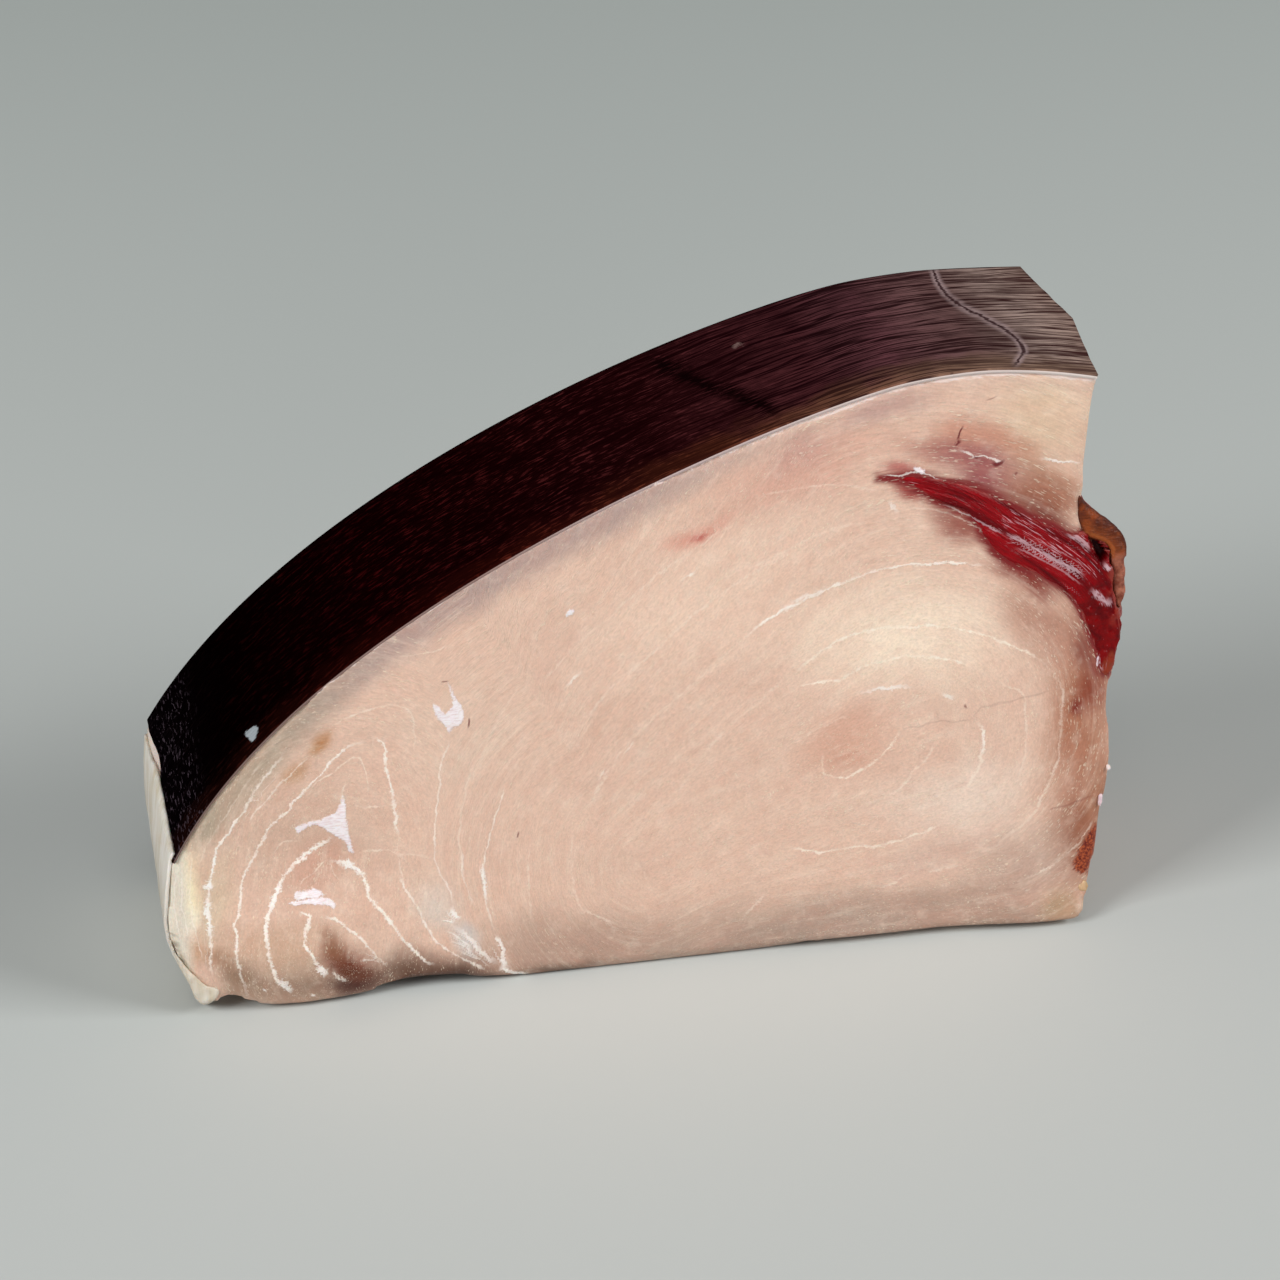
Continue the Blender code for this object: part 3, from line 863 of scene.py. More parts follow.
# the lines that the grain follows, in pixels
flowSpines = {
    "rings": {"line": [(935, 715), (850, 755), (720, 820), (645, 868)], "taper": 0.5},
    "belly": {"line": [(345, 850), (332, 960)], "taper": 0.0},
    "meeting": [
        (400, 560), (425, 650), (449, 736), (436, 812), (434, 858), (454, 909), (490, 961), (530, 1000)],
}
pixelSize = 0.15    # mm that one of the photo's pixels covers on the front cut
turnReach = 90      # pixels that a full turn about a spine's end counts for, over its angle in radians


def flowAround(places, y, spine):
    # coordinates that follow the flakes, in mm: along them, across them, and into the slice
    line = smoothLine(spine["line"], 12.0)
    distance, signed, part = nearestOn(places, line)
    length = np.linalg.norm(np.diff(line, axis=0), axis=1).sum()
    turn = 0.0
    for end, before, sign in ((line[0], line[1], -1), (line[-1], line[-2], 1)):
        outward = (end - before) / np.linalg.norm(end - before)
        past = np.maximum((places - end) @ outward, 0.0)
        beside = np.abs((places - end) @ np.array([-outward[1], outward[0]]))
        turn = turn + sign * np.arctan2(past, beside + 1)
    distance = distance / (1 - spine["taper"] * part)
    return np.stack([(part * length + turn * turnReach) * pixelSize, distance * pixelSize, y], axis=1)


coverTones = {
    "side": srgb(208, 168, 148),             # mottling on the thick end's side
    "tip": srgb(226, 220, 204),              # the face at the belly tip
    "underSkin": (srgb(178, 160, 140), srgb(184, 158, 150)),    # on the left, on the right
}


def toward(tone, cover, mask):
    mask = mask[:, None]
    return np.asarray(tone) * (1 - mask) + np.asarray(cover) * mask


def paintTones(places, points, under):
    # the base colour of each point, with the soft zones laid over it
    moved = places + shakenBy(points, 7.0, 12)
    tone = np.tile(flesh["base"], (len(places), 1))
    for middle, reach, tilt, colour, strength in toneZones.values():
        angle = math.radians(tilt)
        across, down = (moved - middle).T
        u = (across * math.cos(angle) + down * math.sin(angle)) / reach[0]
        v = (down * math.cos(angle) - across * math.sin(angle)) / reach[1]
        tone = toward(tone, colour, strength * (1 - smoothStep(0.1, 1.0, np.hypot(u, v))))
    x, y, z = points.T
    beside = smoothStep(frontCut + 3, frontCut + 12, y) * smoothStep(60, 67, x)
    tone = toward(tone, coverTones["side"], 0.6 * beside * smoothStep(-0.2, 0.3, noiseAt(points, 9.0, 6.0)))
    within = smoothStep(frontCut + 2, frontCut + 6, y) * 3.0
    tone = toward(tone, coverTones["tip"], 1 - smoothStep(-71.4, -69.2, x - within))
    # the grey-lavender layer below the skin, deepest towards the belly and gone at its foot
    left = 1 - smoothStep(600, 860, places[:, 0])
    deep = 4.0 + 3.0 * left + 1.2 * noiseAt(points, 5.0, 9.0)
    layer = (0.75 * left + 0.25) * (1 - smoothStep(0.3, 1.0, under / deep))
    layer = layer * (1 - smoothStep(830, 870, places[:, 1]))
    greyLavender = toward(*coverTones["underSkin"], smoothStep(240, 420, places[:, 0]))
    return toward(tone, greyLavender, layer)


def insideOutline(places, outline):
    # signed distance from the outline, in pixels, above 0 inside
    line = smoothLine(outline + outline[:1], 5.0)
    distance, signed, along = nearestOn(places, line)
    inside = np.zeros(len(places), bool)
    for start, end in zip(line[:-1], line[1:]):
        crosses = (start[1] > places[:, 1]) != (end[1] > places[:, 1])
        rise = end[1] - start[1] if end[1] != start[1] else 1e-9
        at = start[0] + (places[:, 1] - start[1]) * (end[0] - start[0]) / rise
        inside ^= crosses & (places[:, 0] < at)
    return np.where(inside, distance, -distance)


farOutside = -40.0    # pixels outside an outline, where none is near


def smearField(places):
    # above 0 inside a smear, in pixels from its rim
    field = np.full(len(places), farOutside)
    for smear in smears.values():
        points = np.asarray(smear.get("outline") or smear["points"], float)
        near = np.flatnonzero(np.all((places > points.min(0) - 30) & (places < points.max(0) + 30), axis=1))
        if "outline" in smear:
            depth = insideOutline(places[near], smear["outline"])
        else:
            depth = smear["reach"] - nearestOn(places[near], points)[0]
        field[near] = np.maximum(field[near], depth)
    return field


def makeFleshMesh():
    bm = bmesh.new()
    bm.from_mesh(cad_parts["loin"].data)
    bmesh.ops.remove_doubles(bm, verts=bm.verts, dist=1e-6)
    obj = linkObject("flesh", meshFrom(bm, "flesh"))
    cutter = cutSlab("room", flesh["room"], frontCut, flesh["roomReach"], 0.2)
    cut = obj.modifiers.new("room", "BOOLEAN")
    cut.operation = "DIFFERENCE"
    cut.object = cutter
    applyModifiers(obj)
    bpy.data.objects.remove(cutter)
    mesh = remeshed(obj, flesh["voxel"])
    for low, high in flesh["fine"]:
        points = pointsOf(mesh)
        places = pixelsOf(points)
        refine(mesh, (points[:, 1] < frontCut + 1.5) & np.all((places > low) & (places < high), axis=1))
    shapeFlesh(mesh)
    mesh.shade_smooth()
    return obj, mesh


def shapeFlesh(mesh):
    points = pointsOf(mesh)
    x, y, z = points.T    # these follow the points as they are moved
    normals = rowsOf(mesh.vertex_normals, "vector")
    under, slope = underSkin(points)
    lift = np.clip(flesh["sink"] - under, 0, 1)
    size = np.sqrt(1 + slope**2)
    x += lift * slope / size
    z -= lift / size
    cuts = np.abs(normals[:, 1]) ** 2 * smoothStep(0.4, 3.0, under)
    waves = noiseAt(points * (1, 0.3, 1), flesh["waveLength"], 2.0) + 0.4 * noiseAt(points, 3.2, 4.0)
    points += normals * (flesh["undulation"] * waves * cuts)[:, None]
    # the front lower edge bulges, then is drawn under, so a dark line parts it from the floor
    foot = smoothStep(*flesh["foot"], x) * (1 - smoothStep(frontCut + 0.5, frontCut + 4, y))
    most, more = flesh["bulge"]
    bulge = foot * (1 - smoothStep(0.8, 6.0, z)) * (most + more * smoothStep(44.0, 64.0, x))
    tucked = foot * (1 - smoothStep(0.2, 1.3, z))
    tuck, uneven = flesh["tuck"]
    y += tucked * (tuck + uneven * noiseAt(points * (1, 0, 0), 2.5, 3.0)) - bulge
    z[:] = np.maximum(z, 0.0)
    x -= pastEdge(points)
    # behind the flap the flesh lies a little deeper than the dark muscle that covers it
    inside = insideOutline(pixelsOf(frontTwin(points)), musclePixels["outline"])
    upper = smoothStep(48, 51, z) * (1 - smoothStep(70, 74, z))
    covered = np.maximum(smoothStep(0, 5, inside), smoothStep(-40, -30, inside) * upper)
    x -= flesh["deeper"] * covered * smoothStep(frontCut + 2, frontCut + 5, y)
    movePoints(mesh, points)


# the thick end's front edge in the photo: the column that it reaches at each row, open below the flap
endEdge = {
    "rows": [430, 445, 470, 492, 500, 520, 540],
    "columns": [1200, 1086, 1083, 1080, 1084, 1106, 1130],
    "margin": 1.08,
}


def pastEdge(points):
    # how far points would show past the front edge of the thick end, above the flap, in mm
    places = pixelsOf(points)
    edge = np.interp(places[:, 1], endEdge["rows"], endEdge["columns"])
    behind = smoothStep(frontCut + 1, frontCut + 3, points[:, 1])
    return np.maximum(places[:, 0] - edge, 0) * pixelSize * endEdge["margin"] * behind


def tornSide(points):
    # 1 on the torn side behind the flap and the dark muscle
    x, y, z = points.T
    height = smoothStep(50.0, 54.0, z) * (1 - smoothStep(60.0, 66.0, z))
    return height * (1 - smoothStep(frontCut + 5, frontCut + 11, y))


def dressFlesh(mesh):
    points = pointsOf(mesh)
    places = pixelsOf(frontTwin(points))
    under, slope = underSkin(points)
    putAttribute(mesh, "flow", flowAround(places, points[:, 1], flowSpines["rings"]))
    putAttribute(mesh, "bellyFlow", flowAround(places, points[:, 1], flowSpines["belly"]))
    distance, signed, along = nearestOn(places, smoothLine(flowSpines["meeting"], 8.0))
    putAttribute(mesh, "bellySide", 0.5 + 0.5 * np.clip(-signed / 14, -1, 1))
    putAttribute(mesh, "tone", paintTones(places, points, under))
    print("tones painted")
    moved = places + shakenBy(points, 1.7, 2.2)
    putAttribute(mesh, "boldSeam", drawLines(moved, boldSeams))
    putAttribute(mesh, "faintSeam", drawLines(moved, faintSeams))
    putAttribute(mesh, "fatAndGlintStroke", drawLines(moved, fatAndGlintStrokes))
    marks = drawLines(moved, darkLines)
    front = 1 - smoothStep(frontCut + 1.5, frontCut + 4, points[:, 1])
    marks[:, 2] *= front
    putAttribute(mesh, "darkLine", marks)
    torn = smoothStep(64.6, 66.0, points[:, 0]) * tornSide(points)
    stain = np.maximum(insideOutline(places, musclePixels["outline"]), (torn - 0.5) * 40)
    smear = np.where(front > 0.5, smearField(moved), farOutside)
    rust = np.where(front > 0.5, insideOutline(places, rustPixels), farOutside)
    putAttribute(mesh, "blot", smear, stain, rust)
    # the white layer under the skin: ragged on the left, whole on the right
    whole = smoothStep(560, 860, places[:, 0])
    putAttribute(mesh, "dermis", 0.55 + 0.7 * whole - under)
    print("seams laid")


fleshLook = {
    "seam": srgb(255, 244, 234),
    "faintSeam": srgb(255, 242, 226),
    "fatAndGlint": srgb(252, 244, 238),
    "smear": srgb(250, 242, 246),
    "smearShade": srgb(232, 212, 214),
    "glintSpeck": srgb(255, 240, 216),
    "darkLine": srgb(112, 26, 30),
    "stain": srgb(126, 22, 24),
    "dermis": srgb(232, 212, 206),
    "rust": (srgb(104, 22, 8), srgb(176, 84, 44)),
    "haze": srgb(212, 158, 138),
    "paleMottle": srgb(250, 230, 212),
    "pinkMottle": srgb(200, 150, 128),
    "paleStreak": srgb(252, 232, 212),
    "pinkStreak": srgb(202, 154, 132),
    "roughness": 0.46,
    "specular": 0.35,
    "bump": 0.1,         # mm
    "scatter": (0.2, 1.4),    # weight, mm
    "radius": (1.0, 0.45, 0.3),
}


def lineMask(tree, attribute, wear, soft, jitter=0.0):
    # a thin line where the signed distance crosses nought, worn and shaken by noises
    signed, distance, strength = readParts(tree, attribute)
    thin = calc(tree, "ABSOLUTE", plus(tree, signed, jitter))
    body = ease(tree, times(tree, thin, wear), soft, 1.4, 1.0, 0.0)
    near = ease(tree, distance, 6.0, 10.0, 1.0, 0.0)    # pixels
    return times(tree, times(tree, body, near), strength)


def flakeGrain(tree, attribute):
    # the fine grain of the flakes along one flow: fibres, specks, clouds, streaks and beads
    flow = readAttribute(tree, attribute)
    fibres = fibresAlong(tree, flow, 0.55, 0.28, 0.19, 0.64)
    clouds = grainAlong(tree, flow, (0.14, 0.28, 0.12), 4.0, 0.6)
    streaks = grainAlong(tree, flow, (0.16, 0.8, 0.3), 5.0, 0.7)
    beads = grainAlong(tree, flow, (1.1, 1.1, 1.1), 3.0, 0.65)
    return fibres["Fibre"], fibres["Speck"], clouds, streaks, beads


def makeFleshMaterial():
    material, tree, shader = newMaterial("flesh")
    tone = readAttribute(tree, "tone", "Color")
    smear, stain, rust = readParts(tree, "blot")
    side = readAttribute(tree, "bellySide", "Fac")
    rings, belly = flakeGrain(tree, "flow"), flakeGrain(tree, "bellyFlow")
    fibre, glintSpeck, clouds, streaks, beads = [blendNumber(tree, side, a, b) for a, b in zip(rings, belly)]

    crumbs = grain(tree, objectPlace(tree), 2600.0, 2.0, 0.6)
    mottle = grain(tree, objectPlace(tree), 420.0, 3.0, 0.6)
    colour = layOver(tree, tone, fleshLook["haze"], clouds, 0.3, 0.7, 0.0, 0.2)
    colour = layOver(tree, colour, fleshLook["paleMottle"], mottle, 0.5, 0.72, 0.0, 0.16)
    colour = layOver(tree, colour, fleshLook["pinkMottle"], mottle, 0.46, 0.28, 0.0, 0.16)
    colour = layOver(tree, colour, fleshLook["paleStreak"], streaks, 0.48, 0.78, 0.0, 0.3)
    colour = layOver(tree, colour, fleshLook["pinkStreak"], streaks, 0.46, 0.22, 0.0, 0.24)
    # the darkest tones keep their own colour
    deep = ease(tree, splitVector(tree, tone)["X"], 0.32, 0.1, 0.0, 0.85)
    colour = blendColour(tree, deep, colour, tone)
    stainEdge = plus(tree, stain, ease(tree, streaks, 0.2, 0.8, -4.0, 4.0))
    colour = layOver(tree, colour, fleshLook["stain"], stainEdge, -9.0, 1.0, 0.0, 1.0)
    crumbShade = ease(tree, crumbs, 0.3, 0.7, 0.96, 1.04)
    lightFibre = times(tree, ease(tree, fibre, 0.3, 0.7, 0.93, 1.055), crumbShade)
    shade = combine(tree, lightFibre, lightFibre, lightFibre)
    colour = blendColour(tree, 1.0, colour, shade, "MULTIPLY")

    wear = ease(tree, beads, 0.25, 0.7, 2.2, 0.75)
    shake = ease(tree, crumbs, 0.3, 0.7, -0.4, 0.4)
    patchy = ease(tree, clouds, 0.36, 0.6, 0.45, 1.0)
    broken = times(tree, patchy, ease(tree, beads, 0.36, 0.6, 0.35, 0.95))
    faint = times(tree, lineMask(tree, "faintSeam", wear, 0.1, shake), broken)
    colour = blendColour(tree, faint, colour, fleshLook["faintSeam"])
    cloudy = ease(tree, clouds, 0.36, 0.6, 0.7, 1.0)
    beaded = times(tree, cloudy, ease(tree, beads, 0.34, 0.58, 0.55, 1.0))
    bold = times(tree, lineMask(tree, "boldSeam", wear, 0.3, shake), beaded)
    colour = blendColour(tree, bold, colour, fleshLook["seam"])
    # fat strokes and painted glints, in one pale colour
    fatAndGlint = lineMask(tree, "fatAndGlintStroke", ease(tree, beads, 0.3, 0.7, 1.9, 0.8), 0.55, shake)
    fatAndGlint = times(tree, fatAndGlint, ease(tree, crumbs, 0.3, 0.6, 0.7, 1.0))
    colour = blendColour(tree, fatAndGlint, colour, fleshLook["fatAndGlint"])

    ragged = plus(tree, smear, ease(tree, crumbs, 0.25, 0.75, -0.9, 0.9))
    smearMask = ease(tree, ragged, -0.9, 1.2, 0.0, 0.97)
    threads = grainAlong(tree, objectPlace(tree), (900.0, 2000.0, 5200.0), 3.0, 0.7)
    smearTone = blendColour(tree, ease(tree, threads, 0.3, 0.6), fleshLook["smearShade"], fleshLook["smear"])
    colour = blendColour(tree, smearMask, colour, smearTone)
    # painted glints: the specks are wet glints painted in a pale colour, their roughness lowered too
    colour = blendColour(tree, times(tree, glintSpeck, 0.42), colour, fleshLook["glintSpeck"])
    dark = lineMask(tree, "darkLine", 1.0, 0.4)
    colour = blendColour(tree, dark, colour, fleshLook["darkLine"])

    rustEdge = plus(tree, rust, ease(tree, streaks, 0.3, 0.7, -3.0, 3.0))
    rustTone = blendColour(tree, ease(tree, crumbs, 0.36, 0.66), *fleshLook["rust"])
    colour = layOver(tree, colour, rustTone, rustEdge, -3.0, 2.0, 0.0, 1.0)
    dermis = readAttribute(tree, "dermis", "Fac")
    rim = plus(tree, dermis, ease(tree, beads, 0.2, 0.8, -0.35, 0.35))
    colour = layOver(tree, colour, fleshLook["dermis"], rim, 0.0, 0.3, 0.0, 0.8)

    rough = ease(tree, fibre, 0.3, 0.7, fleshLook["roughness"] - 0.08, fleshLook["roughness"] + 0.08)
    rough = calc(tree, "SUBTRACT", rough, times(tree, glintSpeck, 0.2))
    tree.links.new(rough, shader.inputs["Roughness"])
    height = plus(tree, times(tree, fibre, 0.4), times(tree, glintSpeck, 0.5))
    height = plus(tree, height, times(tree, streaks, 0.5))
    height = plus(tree, height, times(tree, smearMask, 0.8))
    height = plus(tree, height, times(tree, calc(tree, "MAXIMUM", bold, fatAndGlint), 0.5))
    finishShader(tree, shader, colour, height, fleshLook)
    return material


fleshPiece, fleshMesh = makeFleshMesh()
dressFlesh(fleshMesh)
fleshMesh.materials.clear()
fleshMesh.materials.append(makeFleshMaterial())
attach(fleshPiece, "root")
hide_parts("loin")
print("flesh made,", len(fleshMesh.vertices), "points")


# the skin: a sheet over the arch, thicker towards the thick end
skin = {
    "steps": (300, 74),          # along the slice, through it
    "proud": 0.12,               # mm above the CAD arch
    "thickness": (0.5, 0.8),     # at the belly tip, at the thick end
    "notch": 1.5,                # how far the tip edge draws back behind its middle
    "notchPlace": (0.66, 0.17),  # where through it, and how wide
    "corner": 2.3,               # how far the thick end's edge bulges at its kink
    "relief": 0.1,
    "lay": (170, 40.5),          # mm that the look's pattern covers along the skin and across it
    "vein": (1.5, 1.0, 0.05, [
        (930, 266), (934, 272), (937, 281), (943, 290), (949, 297), (957, 303), (965, 308), (972, 312),
        (980, 315), (988, 320), (995, 324), (1003, 328), (1010, 333), (1016, 338), (1021, 344), (1024, 350),
        (1022, 355), (1018, 361), (1012, 367)]),
    "veinKnot": (3.0, 1.0, 0.3, [(1019, 341), (1022, 346), (1024, 351), (1023, 356)]),
    # the fold in the skin, darkened with painted shade
    "crease": (11.0, 1.0, 0.15, [
        (640, 356), (660, 364), (683, 374), (705, 385), (725, 391), (745, 398), (765, 406), (786, 415)]),
    "flecks": {
        "whiteFleck": {"reach": 3.6, "points": [(248, 734), (252, 731), (255, 729), (252, 738)]},
        "speckA": {"reach": 2.4, "points": [(734, 347), (738, 344)]},
        "speckB": {"reach": 1.5, "points": [(742, 343), (744, 345)]},
    },
}


def makeSkinMesh():
    along, across = skin["steps"]
    bm = bmesh.new()
    bmesh.ops.create_grid(bm, x_segments=along, y_segments=across, size=0.5)
    bmesh.ops.solidify(bm, geom=bm.faces[:], thickness=0.02)
    bm.verts.index_update()
    count = len(bm.verts)
    bm.faces.sort(key=lambda face: face.verts[0].index * count + face.verts[1].index)    # the same each run
    mesh = meshFrom(bm, "skin")
    u, v, w = (rowsOf(mesh.vertices, "co") + (0.5, 0.5, 0)).T
    inner = (np.abs(w) > 0.005).astype(float)
    return mesh, np.clip(u, 0, 1), np.clip(v, 0, 1), inner


def evenAlong(side):
    # x for evenly spaced steps of the arch's length, from the tip to the corner
    line = arch[side]
    x = line["tip"] + (line["corner"] - line["tip"]) * np.linspace(0, 1, 4000) ** 1.5
    z = archHeight(x + arch["shift"][0], side)
    walked = np.concatenate([[0], np.cumsum(np.hypot(np.diff(x), np.diff(z)))])
    return x, walked


def shapeSkin(mesh, u, v, inner):
    frontX, frontWalk = evenAlong("front")
    backX, backWalk = evenAlong("back")
    middle, width = skin["notchPlace"]
    draw = skin["notch"] * np.exp(-((v - middle) / width) ** 2)
    draw = draw + 0.3 * noiseAt(np.stack([v * 9, v * 0, v * 0], 1), 1.0, 6.0)
    drawn = np.clip(draw, 0, 9) * (1 - u) ** 8
    xFront = np.interp(np.interp(u, [0, 1], [0, frontWalk[-1]]) + drawn, frontWalk, frontX)
    xBack = np.interp(np.interp(u, [0, 1], [0, backWalk[-1]]) + drawn, backWalk, backX)
    x = xFront * (1 - v) + xBack * v + arch["shift"][0]
    bulge = skin["corner"] * (1 - np.abs(2 * v - 1)) ** 1.15 * smoothStep(0.9, 1.0, u)
    x = x + bulge
    half = arch["thickness"] / 2
    y = arch["shift"][1] + (v * 2 - 1) * half
    z = archHeight(x - bulge, "front") * (1 - v) + archHeight(x - bulge, "back") * v
    slope = (skinHeight(x - bulge + 0.3, y) - skinHeight(x - bulge - 0.3, y)) / 0.6
    size = np.sqrt(1 + np.clip(slope, -8, 8) ** 2)
    normal = np.stack([-slope / size, np.zeros(len(x)), 1 / size], 1)
    thick = skin["thickness"][0] * (1 - u) + skin["thickness"][1] * u
    flat = np.stack([u * 160, v * 40, u * 0], 1)
    relief = skin["relief"] * (noiseAt(flat * (0.3, 1, 1), 3.0, 1.0) + 1.4 * noiseAt(flat, 14.0, 2.0))
    edge = smoothStep(0.0, 0.03, v) * (1 - smoothStep(0.97, 1.0, v))
    rise = skin["proud"] - inner * thick + relief * edge
    points = np.stack([x, y, z], 1) + normal * rise[:, None]
    crown = np.clip(1 - ((x / 80) ** 2 + ((z - 42) / 60) ** 2), 0, 1) ** 2 * 0.5
    out = smoothStep(0.02, 0.0, v) - smoothStep(0.98, 1.0, v)
    points[:, 1] -= out * crown
    movePoints(mesh, points)
    places = pixelsOf(points)
    length, width = skin["lay"]
    putAttribute(mesh, "lay", u * length, v * width, inner)
    putAttribute(mesh, "vein", drawLines(places, {"vein": skin["vein"]}))
    putAttribute(mesh, "knot", drawLines(places, {"knot": skin["veinKnot"]}))
    crease = drawLines(places, {"crease": skin["crease"]})
    fleck = np.full(len(u), farOutside)
    for spot in skin["flecks"].values():
        distance, signed, part = nearestOn(places, np.asarray(spot["points"], float))
        fleck = np.maximum(fleck, spot["reach"] - distance)
    putAttribute(mesh, "marks", np.abs(crease[:, 0]), fleck, crease[:, 2])
    mesh.shade_smooth()


skinLook = {
    # colour of the dark lines and of the ground between them from the belly tip, 0, to the thick end, 1
    "line": {0.0: srgb(4, 2, 3), 0.12: srgb(2, 0, 0), 0.4: srgb(14, 0, 1), 0.6: srgb(24, 2, 4),
             0.75: srgb(26, 5, 9), 0.88: srgb(46, 24, 26), 1.0: srgb(66, 40, 38)},
    "ground": {0.0: srgb(20, 14, 16), 0.1: srgb(12, 2, 2), 0.3: srgb(58, 9, 11), 0.45: srgb(76, 26, 26),
               0.6: srgb(80, 34, 36), 0.75: srgb(84, 42, 46), 0.82: srgb(106, 64, 70), 0.9: srgb(126, 94, 92),
               0.955: srgb(182, 158, 148), 1.0: srgb(170, 144, 132)},
    # the browner ground along the front edge
    "front": {0.05: srgb(52, 24, 18), 0.3: srgb(66, 18, 12), 0.48: srgb(88, 34, 24), 0.64: srgb(118, 62, 42),
              0.8: srgb(132, 92, 74), 0.92: srgb(152, 122, 104), 1.0: srgb(150, 124, 108)},
    "creaseShade": srgb(12, 2, 3),
    "veinCore": srgb(48, 22, 25),
    "veinEdge": srgb(178, 154, 154),
    "glint": srgb(98, 84, 94),
    "fleck": (srgb(176, 184, 190), srgb(124, 98, 94)),
    "dermis": {0.0: srgb(120, 100, 94), 0.4: srgb(158, 130, 124), 0.6: srgb(206, 184, 182),
               1.0: srgb(236, 222, 216)},
    "specular": 0.0,
    "bump": 0.06,
}


def colourStops(tree, value, stops):
    ramp = tree.nodes.new("ShaderNodeValToRGB")
    tree.links.new(value, ramp.inputs[0])
    elements = ramp.color_ramp.elements
    places = sorted(stops)
    while len(elements) < len(places):
        elements.new(0.5)
    for element, place in zip(elements, places):
        element.position = place
        element.color = (*stops[place], 1)
    return ramp.outputs[0]


def makeSkinMaterial():
    material, tree, shader = newMaterial("skin")
    lay = readAttribute(tree, "lay")
    along, across, inner = splitVector(tree, lay)
    part = calc(tree, "DIVIDE", along, skin["lay"][0])
    flat = stretch(tree, lay, (1.0, 1.0, 0.0))
    warp = grainAlong(tree, flat, (0.045, 0.12, 0.0), 2.0, 0.5)
    drift = plus(tree, across, times(tree, warp, 3.6))
    bent = combine(tree, along, drift, 0.0)
    # dark lines lie where two stretched noises pass their middle value, as rings do in wood
    wide = grainAlong(tree, bent, (0.03, 0.8, 0.0), 2.0, 0.5)
    slim = grainAlong(tree, bent, (0.07, 1.6, 0.0), 2.0, 0.6)
    dash = grainAlong(tree, bent, (0.42, 1.7, 0.0), 2.0, 0.6)
    fine = grainAlong(tree, bent, (0.5, 3.6, 0.0), 3.0, 0.7)
    mottle = grain(tree, flat, 0.1, 3.0, 0.6)
    slimLines = ease(tree, lineOf(tree, slim, 0.0, 0.06), 0.0, 1.0, 0.4, 1.0)
    lines = times(tree, lineOf(tree, wide, 0.01, 0.06), slimLines)
    dashes = ease(tree, dash, 0.5, 0.66, 0.06, 1.0)
    grey = ease(tree, part, 0.52, 0.84)
    tint = times(tree, lines, blendNumber(tree, grey, dashes, ease(tree, fine, 0.3, 0.6, 0.75, 1.0)))
    tint = times(tree, tint, ease(tree, mottle, 0.36, 0.6, 0.55, 1.0))
    front = ease(tree, plus(tree, across, ease(tree, mottle, 0.3, 0.7, -2.5, 2.5)), 7.5, 0.5)
    plum, browner, dark = [colourStops(tree, part, skinLook[name]) for name in ("ground", "front", "line")]
    ground = blendColour(tree, front, plum, browner)
    lineTone = blendColour(tree, times(tree, front, 0.15), dark, ground)
    colour = blendColour(tree, tint, lineTone, ground)
    signed, distance, strength = readParts(tree, "vein")
    width = calc(tree, "ABSOLUTE", plus(tree, signed, ease(tree, dash, 0.3, 0.7, -0.6, 0.6)))
    strength = times(tree, strength, ease(tree, distance, 8.0, 11.0, 1.0, 0.0))
    veinEdge = times(tree, ease(tree, width, 1.0, 4.2, 0.7, 0.0), strength)
    veinEdge = times(tree, veinEdge, ease(tree, mottle, 0.3, 0.6, 0.5, 1.0))
    colour = blendColour(tree, veinEdge, colour, skinLook["veinEdge"])
    veinCore = times(tree, ease(tree, width, 0.4, 1.2, 1.0, 0.0), strength)
    knot = readParts(tree, "knot")
    spot = times(tree, ease(tree, calc(tree, "ABSOLUTE", knot[0]), 0.3, 1.0, 1.0, 0.0), knot[2])
    veinCore = calc(tree, "MAXIMUM", veinCore, spot)
    veinCore = times(tree, veinCore, ease(tree, fine, 0.3, 0.6, 0.6, 1.0))
    colour = blendColour(tree, veinCore, colour, skinLook["veinCore"])
    squiggle = grainAlong(tree, flat, (2.0, 0.5, 0.0), 2.0, 0.6, 0.8)
    facet = times(tree, ease(tree, squiggle, 0.58, 0.68), ease(tree, part, 0.075, 0.045))
    colour = blendColour(tree, times(tree, facet, 0.45), colour, skinLook["glint"])
    crease, fleck, creaseStrength = readParts(tree, "marks")
    crease = plus(tree, crease, ease(tree, fine, 0.3, 0.7, -0.3, 0.4))
    crease = plus(tree, crease, ease(tree, dash, 0.3, 0.7, -0.35, 0.45))
    # painted shade along the fold in the skin
    creaseShadeMask = times(tree, ease(tree, crease, 0.1, 1.1, 0.95, 0.0), creaseStrength)
    colour = blendColour(tree, creaseShadeMask, colour, skinLook["creaseShade"])
    fleckEdge = plus(tree, fleck, ease(tree, fine, 0.3, 0.7, -1.2, 1.2))
    fleckTone = blendColour(tree, ease(tree, part, 0.3, 0.5), *skinLook["fleck"])
    colour = layOver(tree, colour, fleckTone, fleckEdge, -0.2, 1.0, 0.0, 0.9)
    colour = layOver(tree, colour, colourStops(tree, part, skinLook["dermis"]), inner, 0.35, 0.5)
    rough = ease(tree, fine, 0.3, 0.7, 0.5, 0.7)
    tree.links.new(rough, shader.inputs["Roughness"])
    height = plus(tree, times(tree, fine, 0.4), lines)
    height = plus(tree, height, times(tree, veinCore, -0.8))
    finishShader(tree, shader, colour, height, skinLook)
    return material


def lineOf(tree, value, core, edge):
    # 0 on the line where a noise passes its middle, 1 away from it
    away = calc(tree, "ABSOLUTE", calc(tree, "SUBTRACT", value, 0.5))
    return ease(tree, away, core, edge)


def makeSkin():
    mesh, u, v, inner = makeSkinMesh()
    obj = linkObject("skin", mesh)
    shapeSkin(mesh, u, v, inner)
    mesh.materials.append(makeSkinMaterial())
    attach(obj, "root")
    print("skin made,", len(mesh.vertices), "points")


makeSkin()


